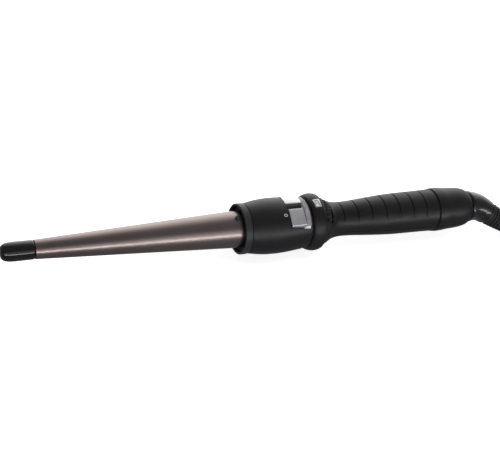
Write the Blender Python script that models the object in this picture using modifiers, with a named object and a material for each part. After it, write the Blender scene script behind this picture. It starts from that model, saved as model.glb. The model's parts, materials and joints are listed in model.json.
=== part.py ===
"""A conical hair curling wand with a swivel mains cord, as separate named sub-parts.

The wand's axis lies level along X, its cool tip towards -X and its switch facing +Z.
The wand stands on its widest ring at z = 0. Along the wand a place is a station, in
millimetres from the barrel's small end, and a height is measured from the wand's axis.
"""
import math

import bmesh
import bpy
from mathutils import Matrix, Vector

MM = 0.001

# Driving dimensions, in millimetres.
NOSE = -21.4                # station of the cool tip's end
BARREL_SMALL_RADIUS = 6.3
BARREL_LARGE_RADIUS = 12.85
BARREL_TAPER_END = 139.0    # where the cone turns parallel, just inside the collar
BARREL_END = 160.0
BARREL_WALL = 0.95
COLLAR_FRONT = 139.8
COLLAR_RADIUS = 17.7
HOUSING_FRONT = 145.1
HOUSING_REAR = 190.3
RING_FRONT = 190.7
RING_REAR = 200.5
RING_RADIUS = 20.4          # the widest place, which the wand lies on
SHELL_FRONT = 200.9
SHELL_REAR = 328.2
ELBOW_REACH = 351.45        # station of the swivel elbow's far side
AXIS_HEIGHT = RING_RADIUS
MIDDLE = (NOSE + ELBOW_REACH) / 2

SWITCH_FRONT = 171.8
SWITCH_REAR = 188.9
ROCKER_FRONT = 172.3
ROCKER_REAR = 184.5
ROCKER_PIVOT_HEIGHT = 11.5
ROCKER_TILT = math.radians(5)

DIAL_RADIUS = 12.2
DIAL_HEIGHT = 5.2           # the thumbwheel's own axle, above the wand's axis
DIAL_RIBS = 40
DIAL_OPENING_ANGLE = math.radians(42)

GROOVE_STATIONS = [217.0 + 10.6 * index for index in range(7)]
GROOVE_WIDTH = 0.7
GROOVE_DEPTH = 0.55
GROOVE_HALF_ANGLE = math.radians(58)

SCREW_STATIONS = (236.0, 268.0, 302.0)

ELBOW_START = 330.0
ELBOW_BEND_RADIUS = 25.0
ELBOW_ANGLE = math.radians(32)
ELBOW_STRAIGHT = 4.5
CORD_DROP = math.radians(35)    # how far the cord's side direction leans below level
CORD_RADIUS = 3.1
HANK_FRONT = 446.0
HANK_REAR = 566.0
HANK_HALF_WIDTH = 29.5
HANK_WAIST = 19.8           # half the hank's width where the tie holds it
HANK_TOP = 31.5
TIE_FRONT = 500.0
TIE_REAR = 512.0
PLUG_ENTRY = 498.0          # the plug lies on the hank and points back along it
PLUG_ACROSS = 12.0
PLUG_LENGTH = 36.0
PLUG_THICKNESS = 13.8
PIN_LENGTH = 19.0
PIN_RADIUS = 2.0
PIN_SPACING = 18.6

GAP = 0.3
STEPS = 48


# The scene, its two collections and the two frames that the sub-parts hang on.
for old in list(bpy.data.objects):
    bpy.data.objects.remove(old)

parts = bpy.data.collections.new("curling_wand")
cutters = bpy.data.collections.new("cutters")
bpy.context.scene.collection.children.link(parts)
bpy.context.scene.collection.children.link(cutters)


def empty(name, place):
    """A frame at a place in metres that sub-parts are parented to."""
    frame = bpy.data.objects.new(name, None)
    frame.location = place
    parts.objects.link(frame)
    return frame


wand = empty("wand_frame", (-MIDDLE * MM, 0, AXIS_HEIGHT * MM))
table = empty("table_frame", (-MIDDLE * MM, 0, 0))
rocker_axis = empty("rocker_axis", (0, 0, 0))
rocker_axis.parent = wand
rocker_axis.location = (0, 0, ROCKER_PIVOT_HEIGHT * MM)
rocker_axis.rotation_euler = (ROCKER_TILT, 0, 0)
dial_axis = empty("dial_axis", (0, 0, 0))
dial_axis.parent = wand
dial_axis.location = (0, 0, DIAL_HEIGHT * MM)


def material(name, colour, roughness, metallic=0.0, transmission=0.0):
    """A Principled BSDF with one colour."""
    made = bpy.data.materials.new(name)
    made.use_nodes = True
    shader = made.node_tree.nodes["Principled BSDF"]
    shader.inputs["Base Color"].default_value = (*colour, 1)
    shader.inputs["Roughness"].default_value = roughness
    shader.inputs["Metallic"].default_value = metallic
    shader.inputs["Transmission Weight"].default_value = transmission
    made.diffuse_color = (*colour, 1)
    return made


SOFT_BLACK = material("soft_touch_black", (0.020, 0.020, 0.022), 0.55)
GLOSS_BLACK = material("gloss_black", (0.012, 0.012, 0.014), 0.15)
TITANIUM = material("titanium_coat", (0.33, 0.28, 0.27), 0.35, 1.0)
SATIN_SILVER = material("satin_silver", (0.45, 0.45, 0.47), 0.35, 0.6)
CHROME = material("chrome", (0.85, 0.85, 0.87), 0.08, 1.0)
CLEAR = material("clear_plastic", (0.60, 0.60, 0.64), 0.10, 0.0, 0.8)
RUBBER = material("black_rubber", (0.018, 0.018, 0.018), 0.60)
STEEL = material("steel", (0.45, 0.45, 0.46), 0.35, 1.0)
DARK_STEEL = material("dark_steel", (0.08, 0.08, 0.08), 0.40, 0.8)
BRASS = material("brass", (0.70, 0.52, 0.22), 0.30, 1.0)
ALUMINIUM = material("aluminium", (0.62, 0.62, 0.63), 0.45, 1.0)
CERAMIC = material("white_ceramic", (0.80, 0.79, 0.75), 0.55)
RESIN = material("heat_resin", (0.06, 0.055, 0.05), 0.60)
BOARD = material("circuit_board", (0.05, 0.22, 0.09), 0.50)
FILM_BLUE = material("capacitor_blue", (0.06, 0.14, 0.35), 0.45)
LAMP_RED = material("lamp_red", (0.70, 0.05, 0.03), 0.25, 0.0, 0.4)
LEAD_RED = material("lead_red", (0.45, 0.04, 0.03), 0.45)
LEAD_WHITE = material("lead_white", (0.75, 0.75, 0.72), 0.45)
CARBON = material("carbon", (0.03, 0.03, 0.03), 0.50)


# Ways of making a sub-part.
def add(name, mesh, finish, parent=wand):
    """Link a mesh as a sub-part, or as a hidden cutter when it has no finish."""
    made = bpy.data.objects.new(name, mesh)
    made.parent = parent
    if finish is None:
        cutters.objects.link(made)
        made.hide_render = True
        made.display_type = "WIRE"
    else:
        parts.objects.link(made)
        mesh.materials.append(finish)
    return made


def round_off(mesh, angle=math.radians(35)):
    """Smooth shading that stays sharp at the real edges."""
    mesh.shade_smooth()
    mesh.set_sharp_from_angle(angle=angle)


def box(name, stations, across, heights, finish=None, parent=wand, bevel=0.0):
    """A box between two stations, two Y values and two heights."""
    size = [abs(pair[1] - pair[0]) * MM for pair in (stations, across, heights)]
    centre = [(pair[0] + pair[1]) / 2 * MM for pair in (stations, across, heights)]
    mesh = bpy.data.meshes.new(name)
    form = bmesh.new()
    bmesh.ops.create_cube(form, size=1.0, matrix=Matrix.Diagonal((*size, 1)))
    form.to_mesh(mesh)
    form.free()
    made = add(name, mesh, finish, parent)
    made.location = centre
    if bevel:
        edge = made.modifiers.new("edges", "BEVEL")
        edge.width = bevel * MM
        edge.segments = 2
    return made


def rod(name, start, end, radius, finish=None, parent=wand, sides=24):
    """A straight round bar from one point to another, in millimetres."""
    start, end = Vector(start) * MM, Vector(end) * MM
    mesh = bpy.data.meshes.new(name)
    form = bmesh.new()
    bmesh.ops.create_cone(
        form, cap_ends=True, segments=sides, radius1=radius * MM, radius2=radius * MM,
        depth=(end - start).length,
    )
    form.to_mesh(mesh)
    form.free()
    round_off(mesh)
    made = add(name, mesh, finish, parent)
    made.location = (start + end) / 2
    made.rotation_mode = "QUATERNION"
    made.rotation_quaternion = (end - start).to_track_quat("Z", "Y")
    return made


def turned(name, loops, finish=None, parent=wand, steps=STEPS, closed=True):
    """Profiles of (station, radius) points, outer side from the front back, spun about X."""
    mesh = bpy.data.meshes.new(name)
    form = bmesh.new()
    for loop in loops:
        points = [form.verts.new((radius * MM, 0, -station * MM)) for station, radius in loop]
        for first, second in zip(points, points[1:]):
            form.edges.new((first, second))
        if closed:
            form.edges.new((points[-1], points[0]))
    form.to_mesh(mesh)
    form.free()
    made = add(name, mesh, finish, parent)
    made.rotation_euler = (0, math.radians(-90), 0)
    spin = made.modifiers.new("spin", "SCREW")
    spin.steps = steps
    spin.render_steps = steps
    spin.use_merge_vertices = True
    spin.merge_threshold = 0.00001
    spin.use_smooth_shade = False
    return made


def tube(name, route, radii, finish, parent=wand, resolution=2):
    """A round bar along a list of points, with a radius for each point."""
    line = bpy.data.curves.new(name, "CURVE")
    line.dimensions = "3D"
    line.bevel_depth = MM
    line.bevel_resolution = resolution
    line.use_fill_caps = True
    spline = line.splines.new("POLY")
    spline.points.add(len(route) - 1)
    for point, place, radius in zip(spline.points, route, radii):
        point.co = (*(Vector(place) * MM), 1)
        point.radius = radius
    made = bpy.data.objects.new(name, line)
    made.parent = parent
    parts.objects.link(made)
    line.materials.append(finish)
    return made


def flat_piece(name, outline, thickness, finish, parent):
    """A flat outline of (X, Y) points given thickness, half of it on each side."""
    line = bpy.data.curves.new(name, "CURVE")
    line.dimensions = "2D"
    line.fill_mode = "BOTH"
    line.extrude = thickness / 2 * MM
    spline = line.splines.new("POLY")
    spline.points.add(len(outline) - 1)
    for point, place in zip(spline.points, outline):
        point.co = (place[0] * MM, place[1] * MM, 0, 1)
    spline.use_cyclic_u = True
    flat = bpy.data.objects.new(name, line)
    cutters.objects.link(flat)
    ready = bpy.context.evaluated_depsgraph_get()
    mesh = bpy.data.meshes.new_from_object(flat.evaluated_get(ready))
    bpy.data.objects.remove(flat)
    form = bmesh.new()
    form.from_mesh(mesh)
    bmesh.ops.remove_doubles(form, verts=form.verts, dist=0.000001)
    bmesh.ops.recalc_face_normals(form, faces=form.faces)
    form.to_mesh(mesh)
    form.free()
    return add(name, mesh, finish, parent)


def prism(name, outline, stations, finish=None, parent=wand):
    """An outline of (Y, height) points, given thickness between two stations."""
    made = flat_piece(name, outline, abs(stations[1] - stations[0]), finish, parent)
    made.location = ((stations[0] + stations[1]) / 2 * MM, 0, 0)
    made.rotation_euler = (math.radians(90), 0, math.radians(90))
    return made


def plate(name, outline, heights, finish=None, parent=wand):
    """An outline of (station, Y) points, given thickness between two heights."""
    made = flat_piece(name, outline, abs(heights[1] - heights[0]), finish, parent)
    made.location = (0, 0, (heights[0] + heights[1]) / 2 * MM)
    return made


def combine(made, *others, how="DIFFERENCE"):
    """Cut, join or trim a sub-part with other shapes."""
    for other in others:
        step = made.modifiers.new(other.name, "BOOLEAN")
        step.operation = how
        step.solver = "EXACT"
        step.object = other
    return made


def arc(radius, start, end, count, centre=(0, 0)):
    """Points on an arc, angles from straight up and growing towards -Y."""
    return [
        (
            centre[0] - radius * math.sin(start + (end - start) * index / count),
            centre[1] + radius * math.cos(start + (end - start) * index / count),
        )
        for index in range(count + 1)
    ]


def sector(inner, outer, half_angle, count=16, middle=0.0):
    """The outline of a piece of a ring, symmetrical about an angle."""
    out = arc(outer, middle - half_angle, middle + half_angle, count)
    back = arc(inner, middle + half_angle, middle - half_angle, count)
    return out + back


def barrel_radius(station):
    """The barrel's outer radius at a station."""
    share = min(max(station / BARREL_TAPER_END, 0), 1)
    return BARREL_SMALL_RADIUS + share * (BARREL_LARGE_RADIUS - BARREL_SMALL_RADIUS)


# The cool tip: a moulded nose held by one long screw into a plug in the barrel.
cool_tip = turned("cool_tip", [[
    (NOSE, 2.2), (NOSE, 3.3), (NOSE + 0.8, 4.5), (NOSE + 2.2, 5.5), (NOSE + 4.4, 6.2),
    (NOSE + 6.6, 6.4), (-1.0, BARREL_SMALL_RADIUS), (-GAP, 6.0), (-GAP, 4.9), (0.9, 4.9),
    (0.9, 1.6), (NOSE + 3.9, 1.6), (NOSE + 3.9, 2.2),
]], GLOSS_BLACK)
tip_screw = turned("tip_screw", [[
    (NOSE + 0.2, 0), (NOSE + 0.2, 1.4), (NOSE + 0.8, 1.9), (NOSE + 3.5, 1.9),
    (NOSE + 3.5, 1.25), (7.5, 1.25), (8.4, 0),
]], STEEL, steps=24, closed=False)
for index, half in enumerate(((1.3, 0.3), (0.3, 1.3))):
    slot = box(f"tip_screw_slot_{index}", (NOSE, NOSE + 1.5), (-half[0], half[0]), (-half[1], half[1]))
    combine(tip_screw, slot)
tip_insert = turned("tip_insert", [[(1.4, 5.0), (9.5, 5.3), (9.5, 1.6), (1.4, 1.6)]], ALUMINIUM, steps=32)

# The barrel: a coated tube, conical up to the collar and parallel inside it.
barrel = turned("barrel", [[
    (0, BARREL_SMALL_RADIUS - 0.25), (0.3, BARREL_SMALL_RADIUS),
    (BARREL_TAPER_END, BARREL_LARGE_RADIUS), (BARREL_END, BARREL_LARGE_RADIUS),
    (BARREL_END, BARREL_LARGE_RADIUS - BARREL_WALL),
    (BARREL_TAPER_END, BARREL_LARGE_RADIUS - BARREL_WALL),
    (0, BARREL_SMALL_RADIUS - BARREL_WALL),
]], TITANIUM, steps=64)
BARREL_SCREW = 136.9
screw_clearance = rod("barrel_screw_clearance", (BARREL_SCREW, 0, 8), (BARREL_SCREW, 0, 16), 1.3)
combine(barrel, screw_clearance)
barrel_screw = rod(
    "barrel_screw", (BARREL_SCREW, 0, 9.2), (BARREL_SCREW, 0, 13.4), 0.9, DARK_STEEL, sides=16)
barrel_screw_head = turned("barrel_screw_head", [[
    (-14.2, 0), (-14.2, 1.0), (-13.8, 1.65), (-13.1, 1.75), (-13.1, 0)]], steps=20, closed=False)
barrel_screw_head.rotation_euler = (0, 0, 0)
barrel_screw_head.location = (BARREL_SCREW * MM, 0, 0)
combine(barrel_screw, barrel_screw_head, how="UNION")

# The heater: two half cones of aluminium that hold a ceramic element against the barrel.
HEATER_FRONT, HEATER_REAR, HEATER_SPLIT = 20.0, 124.0, 1.6


def heater_half(name, side):
    """One half of the heat spreader, above or below the element."""
    clearance = BARREL_WALL + 0.45
    made = turned(name, [[
        (HEATER_FRONT, 0), (HEATER_FRONT, barrel_radius(HEATER_FRONT) - clearance),
        (HEATER_REAR, barrel_radius(HEATER_REAR) - clearance), (HEATER_REAR, 0),
    ]], ALUMINIUM, steps=32, closed=False)
    keep = box(name + "_side", (0, 130), (-15, 15), (side * HEATER_SPLIT, side * 16))
    return combine(made, keep, how="INTERSECT")


heater_half("heater_clamp_upper", 1)
heater_lower = heater_half("heater_clamp_lower", -1)
sensor_bore = rod("sensor_bore", (112, 0, -6), (126, 0, -6), 1.6)
combine(heater_lower, sensor_bore)
box("ceramic_heater", (30, 120), (-4.6, 4.6), (-1.2, 1.2), CERAMIC)
rod("thermistor", (113, 0, -6), (127, 0, -6), 1.2, CERAMIC, sides=16)
rod("thermal_fuse", (126, 0, 5), (136, 0, 5), 1.8, STEEL, sides=20)

# The holder: a heat-proof bush that the barrel's rear end sits on.
holder = turned("barrel_holder", [[
    (130.5, 10.7), (139.5, 11.4), (BARREL_END + GAP, 11.4), (BARREL_END + GAP, 16.4),
    (163.8, 16.4), (163.8, 8.6), (130.5, 8.6),
]], RESIN)
combine(holder, screw_clearance)

# The collar: a deep ring round the barrel that keeps its heat off the housing.
turned("front_collar", [[
    (COLLAR_FRONT, 16.6), (COLLAR_FRONT, 17.3), (COLLAR_FRONT + 0.4, COLLAR_RADIUS),
    (144.3, COLLAR_RADIUS - 0.1), (144.7, 17.3), (144.7, 16.5), (153.0, 16.5), (153.0, 13.3),
    (143.7, 13.3), (143.7, 16.0),
]], SOFT_BLACK, steps=64)

# The front housing: a one-piece sleeve with the switch's opening in its top.
housing = turned("front_housing", [[
    (HOUSING_FRONT, 17.1), (145.6, 17.4), (148.6, 17.95), (151.5, 18.5), (155.5, 19.1), (160.5, 19.5),
    (167.0, 19.65), (173.0, 19.45), (179.0, 18.95), (185.0, 18.35), (HOUSING_REAR - 0.5, 17.9),
    (HOUSING_REAR, 17.5), (HOUSING_REAR, 16.2), (181.0, 16.5), (175.0, 17.2), (157.0, 17.2),
    (153.4, 16.8), (HOUSING_FRONT, 16.8),
]], SOFT_BLACK, steps=64)
SWITCH_HALF_WIDTH = 13.8
combine(housing, box(
    "switch_opening", (SWITCH_FRONT, SWITCH_REAR), (-SWITCH_HALF_WIDTH, SWITCH_HALF_WIDTH), (10, 25)))

# The chassis: a trough behind the barrel holder, with a web for the dial's axle.
chassis = prism(
    "inner_chassis", sector(13.6, 15.7, math.radians(78), middle=math.pi), (164.1, 199.5), RESIN)
chassis_web = box("chassis_web", (188.0, 189.6), (-5.8, 5.8), (-14.3, 8.0))
axle_hole = rod("axle_hole", (187, 0, DIAL_HEIGHT), (191, 0, DIAL_HEIGHT), 1.8)
wire_slot = box("wire_slot", (187, 191), (-4.4, 4.4), (-12.6, 1.5))
combine(chassis, chassis_web, how="UNION")
combine(chassis, axle_hole, wire_slot)

# The power switch: a block with two cheeks, a pin between them and a rocker on the pin.
block = box("switch_block", (ROCKER_FRONT, ROCKER_REAR), (-9.0, 9.0), (-3.0, 8.6), SOFT_BLACK)
cheek_outline = [(-3, 8), (3, 8), (3, 12), (1.5, 13.2), (-1.5, 13.2), (-3, 12)]
for index, stations in enumerate(((ROCKER_FRONT, 173.3), (183.5, ROCKER_REAR))):
    cheek = prism(f"switch_cheek_{index}", cheek_outline, stations)
    combine(block, cheek, how="UNION")
pin_bore = rod("pin_bore", (170, 0, ROCKER_PIVOT_HEIGHT), (187, 0, ROCKER_PIVOT_HEIGHT), 1.1)
combine(block, pin_bore)
rod("rocker_pin", (172.4, 0, ROCKER_PIVOT_HEIGHT), (184.4, 0, ROCKER_PIVOT_HEIGHT), 0.8, STEEL, sides=16)

# The rocker about its pivot: a raised far plate, a valley, and a flatter near plate with a thick end.
rocker_outline = [
    (4.8, 7.0), (8.0, 5.8), (11.6, 3.9), (12.7, 3.0), (13.1, 2.2), (12.7, 1.3), (3.4, 3.5),
    (-3.4, 3.5), (-12.7, 1.3), (-13.0, 2.0), (-12.2, 4.1), (-11.7, 4.5), (-6.0, 5.9), (-0.4, 6.6),
    (0.3, 6.45), (0.9, 5.5), (2.8, 5.6), (3.6, 6.8),
]
NEAR_PLATE_FRONT = 173.5
rocker = prism("rocker_paddle", rocker_outline, (ROCKER_FRONT, ROCKER_REAR), SATIN_SILVER, rocker_axis)
rocker_step = prism(
    "rocker_step", [(0.6, 9), (0.6, 0), (-15, 0), (-15, 9)], (ROCKER_FRONT - 1, NEAR_PLATE_FRONT),
    None, rocker_axis)
combine(rocker, rocker_step)
rocker_hub = prism(
    "rocker_hub", [(-2.8, 5.2), (2.8, 5.2), (2.4, 0), (1.3, -1.7), (-1.3, -1.7), (-2.4, 0)],
    (173.7, 183.1), None, rocker_axis)
combine(rocker, rocker_hub, how="UNION")
rocker_bore = rod("rocker_bore", (170, 0, 0), (187, 0, 0), 1.1, None, rocker_axis)
combine(rocker, rocker_bore)

# The indicator: a clear strip behind the rocker with a lamp under it.
prism("indicator_lens", sector(16.9, 18.6, math.radians(44)), (184.9, 188.6), CLEAR)
rod("indicator_lamp", (186.3, 0, 10.0), (186.3, 0, 16.2), 1.2, LAMP_RED, sides=16)

# The window ring: the widest ring, with a framed window over the dial's numbers.
ring_outer = [
    (RING_FRONT, 18.3), (191.3, 18.95), (192.5, 19.6), (194.2, 20.15), (196.3, RING_RADIUS),
    (198.4, 20.2), (199.9, 19.75), (RING_REAR, 19.2),
]
ring = turned("window_ring", [
    ring_outer + [(RING_REAR, 18.1), (192.4, 18.1), (192.4, 16.6), (RING_FRONT, 16.6)]
], SOFT_BLACK, steps=64)
WINDOW_FRONT, WINDOW_REAR = 193.1, 199.0
WINDOW_NEAR, WINDOW_FAR = -2.6, 5.8
combine(ring, box(
    "window_opening", (WINDOW_FRONT - GAP, WINDOW_REAR + GAP),
    (WINDOW_NEAR - GAP, WINDOW_FAR + GAP), (15, 25)))


def window_piece(name, rise, depth, border, finish):
    """A piece of a ring that follows the window ring's bulge, trimmed to a rectangle."""
    outer = [(station, radius + rise) for station, radius in ring_outer]
    inner = [(station, radius - depth) for station, radius in reversed(ring_outer)]
    made = turned(name, [outer + inner], finish, steps=64)
    keep = box(
        name + "_side", (WINDOW_FRONT + border, WINDOW_REAR - border),
        (WINDOW_NEAR + border, WINDOW_FAR - border), (12, 25))
    return combine(made, keep, how="INTERSECT")


frame_piece = window_piece("window_frame", 0.15, 1.6, 0.0, CHROME)
combine(frame_piece, box(
    "frame_opening", (WINDOW_FRONT + 0.9, WINDOW_REAR - 0.9),
    (WINDOW_NEAR + 0.9, WINDOW_FAR - 0.9), (10, 26)))
window_piece("dial_window", -0.05, 1.2, 1.2, CLEAR)

# The dial: a thumbwheel and number drum on its own axle, above the wand's axis.
WHEEL_FRONT, WHEEL_REAR = 202.2, 206.3
wheel = turned("dial_wheel", [[
    (192.8, 11.6), (193.0, 11.9), (WHEEL_FRONT - 0.3, 11.9), (WHEEL_FRONT - 0.3, DIAL_RADIUS - 0.3),
    (WHEEL_FRONT, DIAL_RADIUS), (WHEEL_REAR - 0.6, DIAL_RADIUS), (WHEEL_REAR, DIAL_RADIUS - 0.8),
    (WHEEL_REAR, 1.8), (190.4, 1.8), (190.4, 3.6), (199.4, 3.6), (199.4, 10.6), (192.8, 10.6),
]], SOFT_BLACK, dial_axis, steps=DIAL_RIBS * 2)
rib_cutter = rod(
    "rib_cutter", (WHEEL_FRONT - 0.6, 0, DIAL_RADIUS + 0.25), (WHEEL_REAR + 0.6, 0, DIAL_RADIUS + 0.25),
    0.6, None, dial_axis, sides=6)
rib_cutters = bpy.data.meshes.new("rib_cutters")
ring_form = bmesh.new()
for index in range(DIAL_RIBS):
    turn = Matrix.Rotation(math.tau * (index + 0.5) / DIAL_RIBS, 4, "X")
    place = Matrix.LocRotScale(rib_cutter.location, rib_cutter.rotation_quaternion, None)
    before = len(ring_form.verts)
    ring_form.from_mesh(rib_cutter.data)
    ring_form.verts.ensure_lookup_table()
    bmesh.ops.transform(ring_form, matrix=turn @ place, verts=ring_form.verts[before:])
ring_form.to_mesh(rib_cutters)
ring_form.free()
bpy.data.objects.remove(rib_cutter)
combine(wheel, add("rib_cutters", rib_cutters, None, dial_axis))
rod("dial_axle", (187.6, 0, DIAL_HEIGHT), (210.5, 0, DIAL_HEIGHT), 1.4, STEEL, sides=20)
box("dial_wiper", (206.6, 207.4), (-1.5, 1.5), (2.4, 6.0), BRASS, dial_axis)
track_board = turned("track_board", [[(207.7, 6.5), (208.9, 6.5), (208.9, 1.8), (207.7, 1.8)]],
                     BOARD, steps=32)
track_board.location = (0, 0, DIAL_HEIGHT * MM)

# The handle: two half shells that meet at the wand's middle plane.
shell_outer = [
    (SHELL_FRONT, 17.8), (203.0, 17.2), (205.0, 16.35), (207.0, 15.15), (209.0, 14.15),
    (211.3, 13.3), (214.5, 12.7), (219.0, 12.35), (223.0, 12.4), (229.0, 12.7), (236.0, 13.3),
    (244.0, 13.9), (252.0, 14.45), (260.0, 14.9), (268.0, 15.1), (278.0, 15.2), (288.0, 15.35),
    (295.4, 15.6), (295.6, 14.8), (296.4, 14.8), (296.6, 16.0), (300.0, 16.15), (305.5, 16.05),
    (306.6, 15.5), (312.0, 15.35), (318.0, 15.0), (323.0, 14.2), (326.0, 13.0), (327.6, 11.7),
    (SHELL_REAR, 10.8),
]
shell_inner = [
    (SHELL_REAR, 7.5), (324.4, 7.5), (324.4, 12.3), (321.0, 12.9), (300.0, 13.2), (268.0, 13.0),
    (252.0, 12.3), (236.0, 11.2), (223.0, 10.4), (214.5, 10.7), (209.0, 12.3), (206.5, 13.2),
    (203.0, 15.3), (SHELL_FRONT, 15.8),
]


def outer_radius(station):
    """The handle's outer radius at a station."""
    for (first, small), (last, large) in zip(shell_outer, shell_outer[1:]):
        if first <= station <= last:
            return small + (large - small) * (station - first) / (last - first)
    raise ValueError(station)


GROOVE_SHIFT = GROOVE_DEPTH / (1 - math.cos(GROOVE_HALF_ANGLE))
groove_loops = []
for station in GROOVE_STATIONS:
    bottom = outer_radius(station) + GROOVE_SHIFT - GROOVE_DEPTH
    front, rear = station - GROOVE_WIDTH / 2, station + GROOVE_WIDTH / 2
    groove_loops.append([(front, bottom + 4), (rear, bottom + 4), (rear, bottom), (front, bottom)])


def handle_shell(name, side):
    """One half of the handle, with its grooves and screw bosses."""
    made = turned(name, [shell_outer + shell_inner], SOFT_BLACK)
    keep = box(name + "_side", (190, 340), (-25, 25), (side * 0.15, side * 25))
    combine(made, keep, how="INTERSECT")
    grooves = turned(name + "_grooves", groove_loops)
    grooves.location = (0, 0, -side * GROOVE_SHIFT * MM)
    combine(made, grooves)
    for station in SCREW_STATIONS:
        wall = outer_radius(station) - 1.2
        boss = rod(f"{name}_boss_{station:.0f}", (station, 0, side * 0.5), (station, 0, side * wall), 3.0)
        combine(made, boss, how="UNION")
    return made


upper = handle_shell("handle_upper_shell", 1)
lower = handle_shell("handle_lower_shell", -1)
opening = [(0, 6)] + arc(26, -DIAL_OPENING_ANGLE, DIAL_OPENING_ANGLE, 12)
combine(upper, prism("dial_opening", opening, (SHELL_FRONT - 1, 208.0)))
POCKET_RADIUS = DIAL_RADIUS + 0.35
dial_pocket = rod(
    "dial_pocket", (SHELL_FRONT - 1, 0, DIAL_HEIGHT), (206.9, 0, DIAL_HEIGHT), POCKET_RADIUS, sides=64)
combine(upper, dial_pocket)
for number, station in enumerate(SCREW_STATIONS, 1):
    pilot = rod(f"pilot_{number}", (station, 0, 0), (station, 0, 8.5), 1.1, sides=16)
    combine(upper, pilot)
    clearance = rod(f"clearance_{number}", (station, 0, 0), (station, 0, -20), 1.5, sides=16)
    recess = rod(f"recess_{number}", (station, 0, -6.0), (station, 0, -20), 2.3, sides=20)
    combine(lower, clearance, recess)
    screw = rod(f"handle_screw_{number}", (station, 0, 7.5), (station, 0, -7.0), 0.8, STEEL, sides=12)
    head = rod(f"screw_head_{number}", (station, 0, -6.3), (station, 0, -8.0), 1.95, sides=20)
    combine(screw, head, how="UNION")
    slot_a = box(f"screw_slot_a_{number}", (station - 1.2, station + 1.2), (-0.25, 0.25), (-9, -7.3))
    slot_b = box(f"screw_slot_b_{number}", (station - 0.25, station + 0.25), (-1.2, 1.2), (-9, -7.3))
    combine(screw, slot_a, slot_b)

# The electronics in the handle.
board = box("control_board", (226, 296), (-8.2, 8.2), (-4.4, -2.8), BOARD)
for station in SCREW_STATIONS[:2]:
    combine(board, rod(f"board_hole_{station:.0f}", (station, 0, -6), (station, 0, -1), 3.6))
box("triac", (246, 256), (-5.0, 5.0), (-2.4, 2.4), CARBON, bevel=0.4)
box("suppression_capacitor", (275, 289), (-5.0, 5.0), (-2.4, 7.0), FILM_BLUE, bevel=0.8)
box("mains_fuse", (258.5, 262.5), (-6.5, 6.5), (-2.4, 1.6), CERAMIC, bevel=0.5)


def lead(name, side, route, finish):
    """An insulated lead, its route given for one side and mirrored for the other."""
    return tube(name, [(s, side * y, z) for s, y, z in route], [0.8] * len(route), finish)


HEATER_LEAD = [
    (225.4, 3.0, -3.6), (220.0, 3.0, -5.2), (212.0, 3.0, -8.2), (203.0, 3.0, -10.2), (192.0, 3.0, -10.6),
    (180.0, 3.0, -9.6), (168.0, 3.0, -6.6), (156.0, 3.0, -4.2), (144.0, 3.0, -2.8), (132.0, 3.0, -1.4),
    (121.0, 2.4, -0.2),
]
SUPPLY_LEAD = [
    (296.5, 3.5, -3.6), (299.0, 4.8, -4.6), (302.5, 5.4, -6.6), (306.5, 5.2, -9.2),
    (310.5, 3.6, -10.6), (313.2, 2.4, -10.9),
]
lead("heater_lead_live", 1, HEATER_LEAD, LEAD_RED)
lead("heater_lead_neutral", -1, HEATER_LEAD, LEAD_WHITE)
lead("supply_lead_live", 1, SUPPLY_LEAD, LEAD_RED)
lead("supply_lead_neutral", -1, SUPPLY_LEAD, LEAD_WHITE)

# The swivel's fixed half: a holder in the handle's tail with two brushes.
RING_STATIONS = (314.2, 319.6)
RING_WIDTH = 3.6
box("brush_holder", (313.6, 323.0), (-3.2, 3.2), (-11.6, -10.2), RESIN)
for name, station in zip(("brush_live", "brush_neutral"), RING_STATIONS):
    box(name, (station + 0.6, station + 3.0), (-1.6, 1.6), (-9.9, -8.6), CARBON)

# The swivel's turning half: the elbow, with a slip ring for each conductor.
SIDE_WAY = Vector((0, -math.cos(CORD_DROP), -math.sin(CORD_DROP)))
elbow_route = [
    (310.4, 0, 0), (312.6, 0, 0), (312.65, 0, 0), (328.5, 0, 0), (328.55, 0, 0), (ELBOW_START, 0, 0),
]
elbow_radii = [9.6, 9.6, 6.9, 6.9, 10.2, 10.9]
ELBOW_ARC_POINTS = 7
for index in range(1, ELBOW_ARC_POINTS + 1):
    turn = ELBOW_ANGLE * index / ELBOW_ARC_POINTS
    along = ELBOW_START + ELBOW_BEND_RADIUS * math.sin(turn)
    aside = SIDE_WAY * ELBOW_BEND_RADIUS * (1 - math.cos(turn))
    elbow_route.append((along, aside.y, aside.z))
    elbow_radii.append(10.9 - 2.2 * index / ELBOW_ARC_POINTS)
cord_way = Vector((math.cos(ELBOW_ANGLE), 0, 0)) + SIDE_WAY * math.sin(ELBOW_ANGLE)
elbow_end = Vector(elbow_route[-1]) + cord_way * ELBOW_STRAIGHT
elbow_route.append(tuple(elbow_end))
elbow_radii.append(8.4)
tube("swivel_elbow", elbow_route, elbow_radii, GLOSS_BLACK, resolution=6)
for name, station in zip(("slip_ring_live", "slip_ring_neutral"), RING_STATIONS):
    turned(name, [[
        (station, 8.2), (station + RING_WIDTH, 8.2), (station + RING_WIDTH, 7.3), (station, 7.3),
    ]], BRASS, steps=32)

# The cord: its relief, its free stretch, the hank, its tie and the plug, with heights above
# the table. The hank is a racetrack winding, pulled in at its waist by the tie.
relief_start = elbow_end + cord_way * GAP + Vector((0, 0, AXIS_HEIGHT))
RELIEF_ROUTE = [
    tuple(relief_start), (356.0, -9.7, 13.7), (364.5, -13.7, 10.9), (373.0, -17.3, 8.7),
    (381.5, -20.4, 7.1), (390.0, -22.9, 6.0),
]
RELIEF_RADII = [8.2, 7.4, 6.7, 6.0, 5.3, 4.6]
tube("strain_relief", RELIEF_ROUTE, RELIEF_RADII, RUBBER, table, resolution=5)

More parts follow.
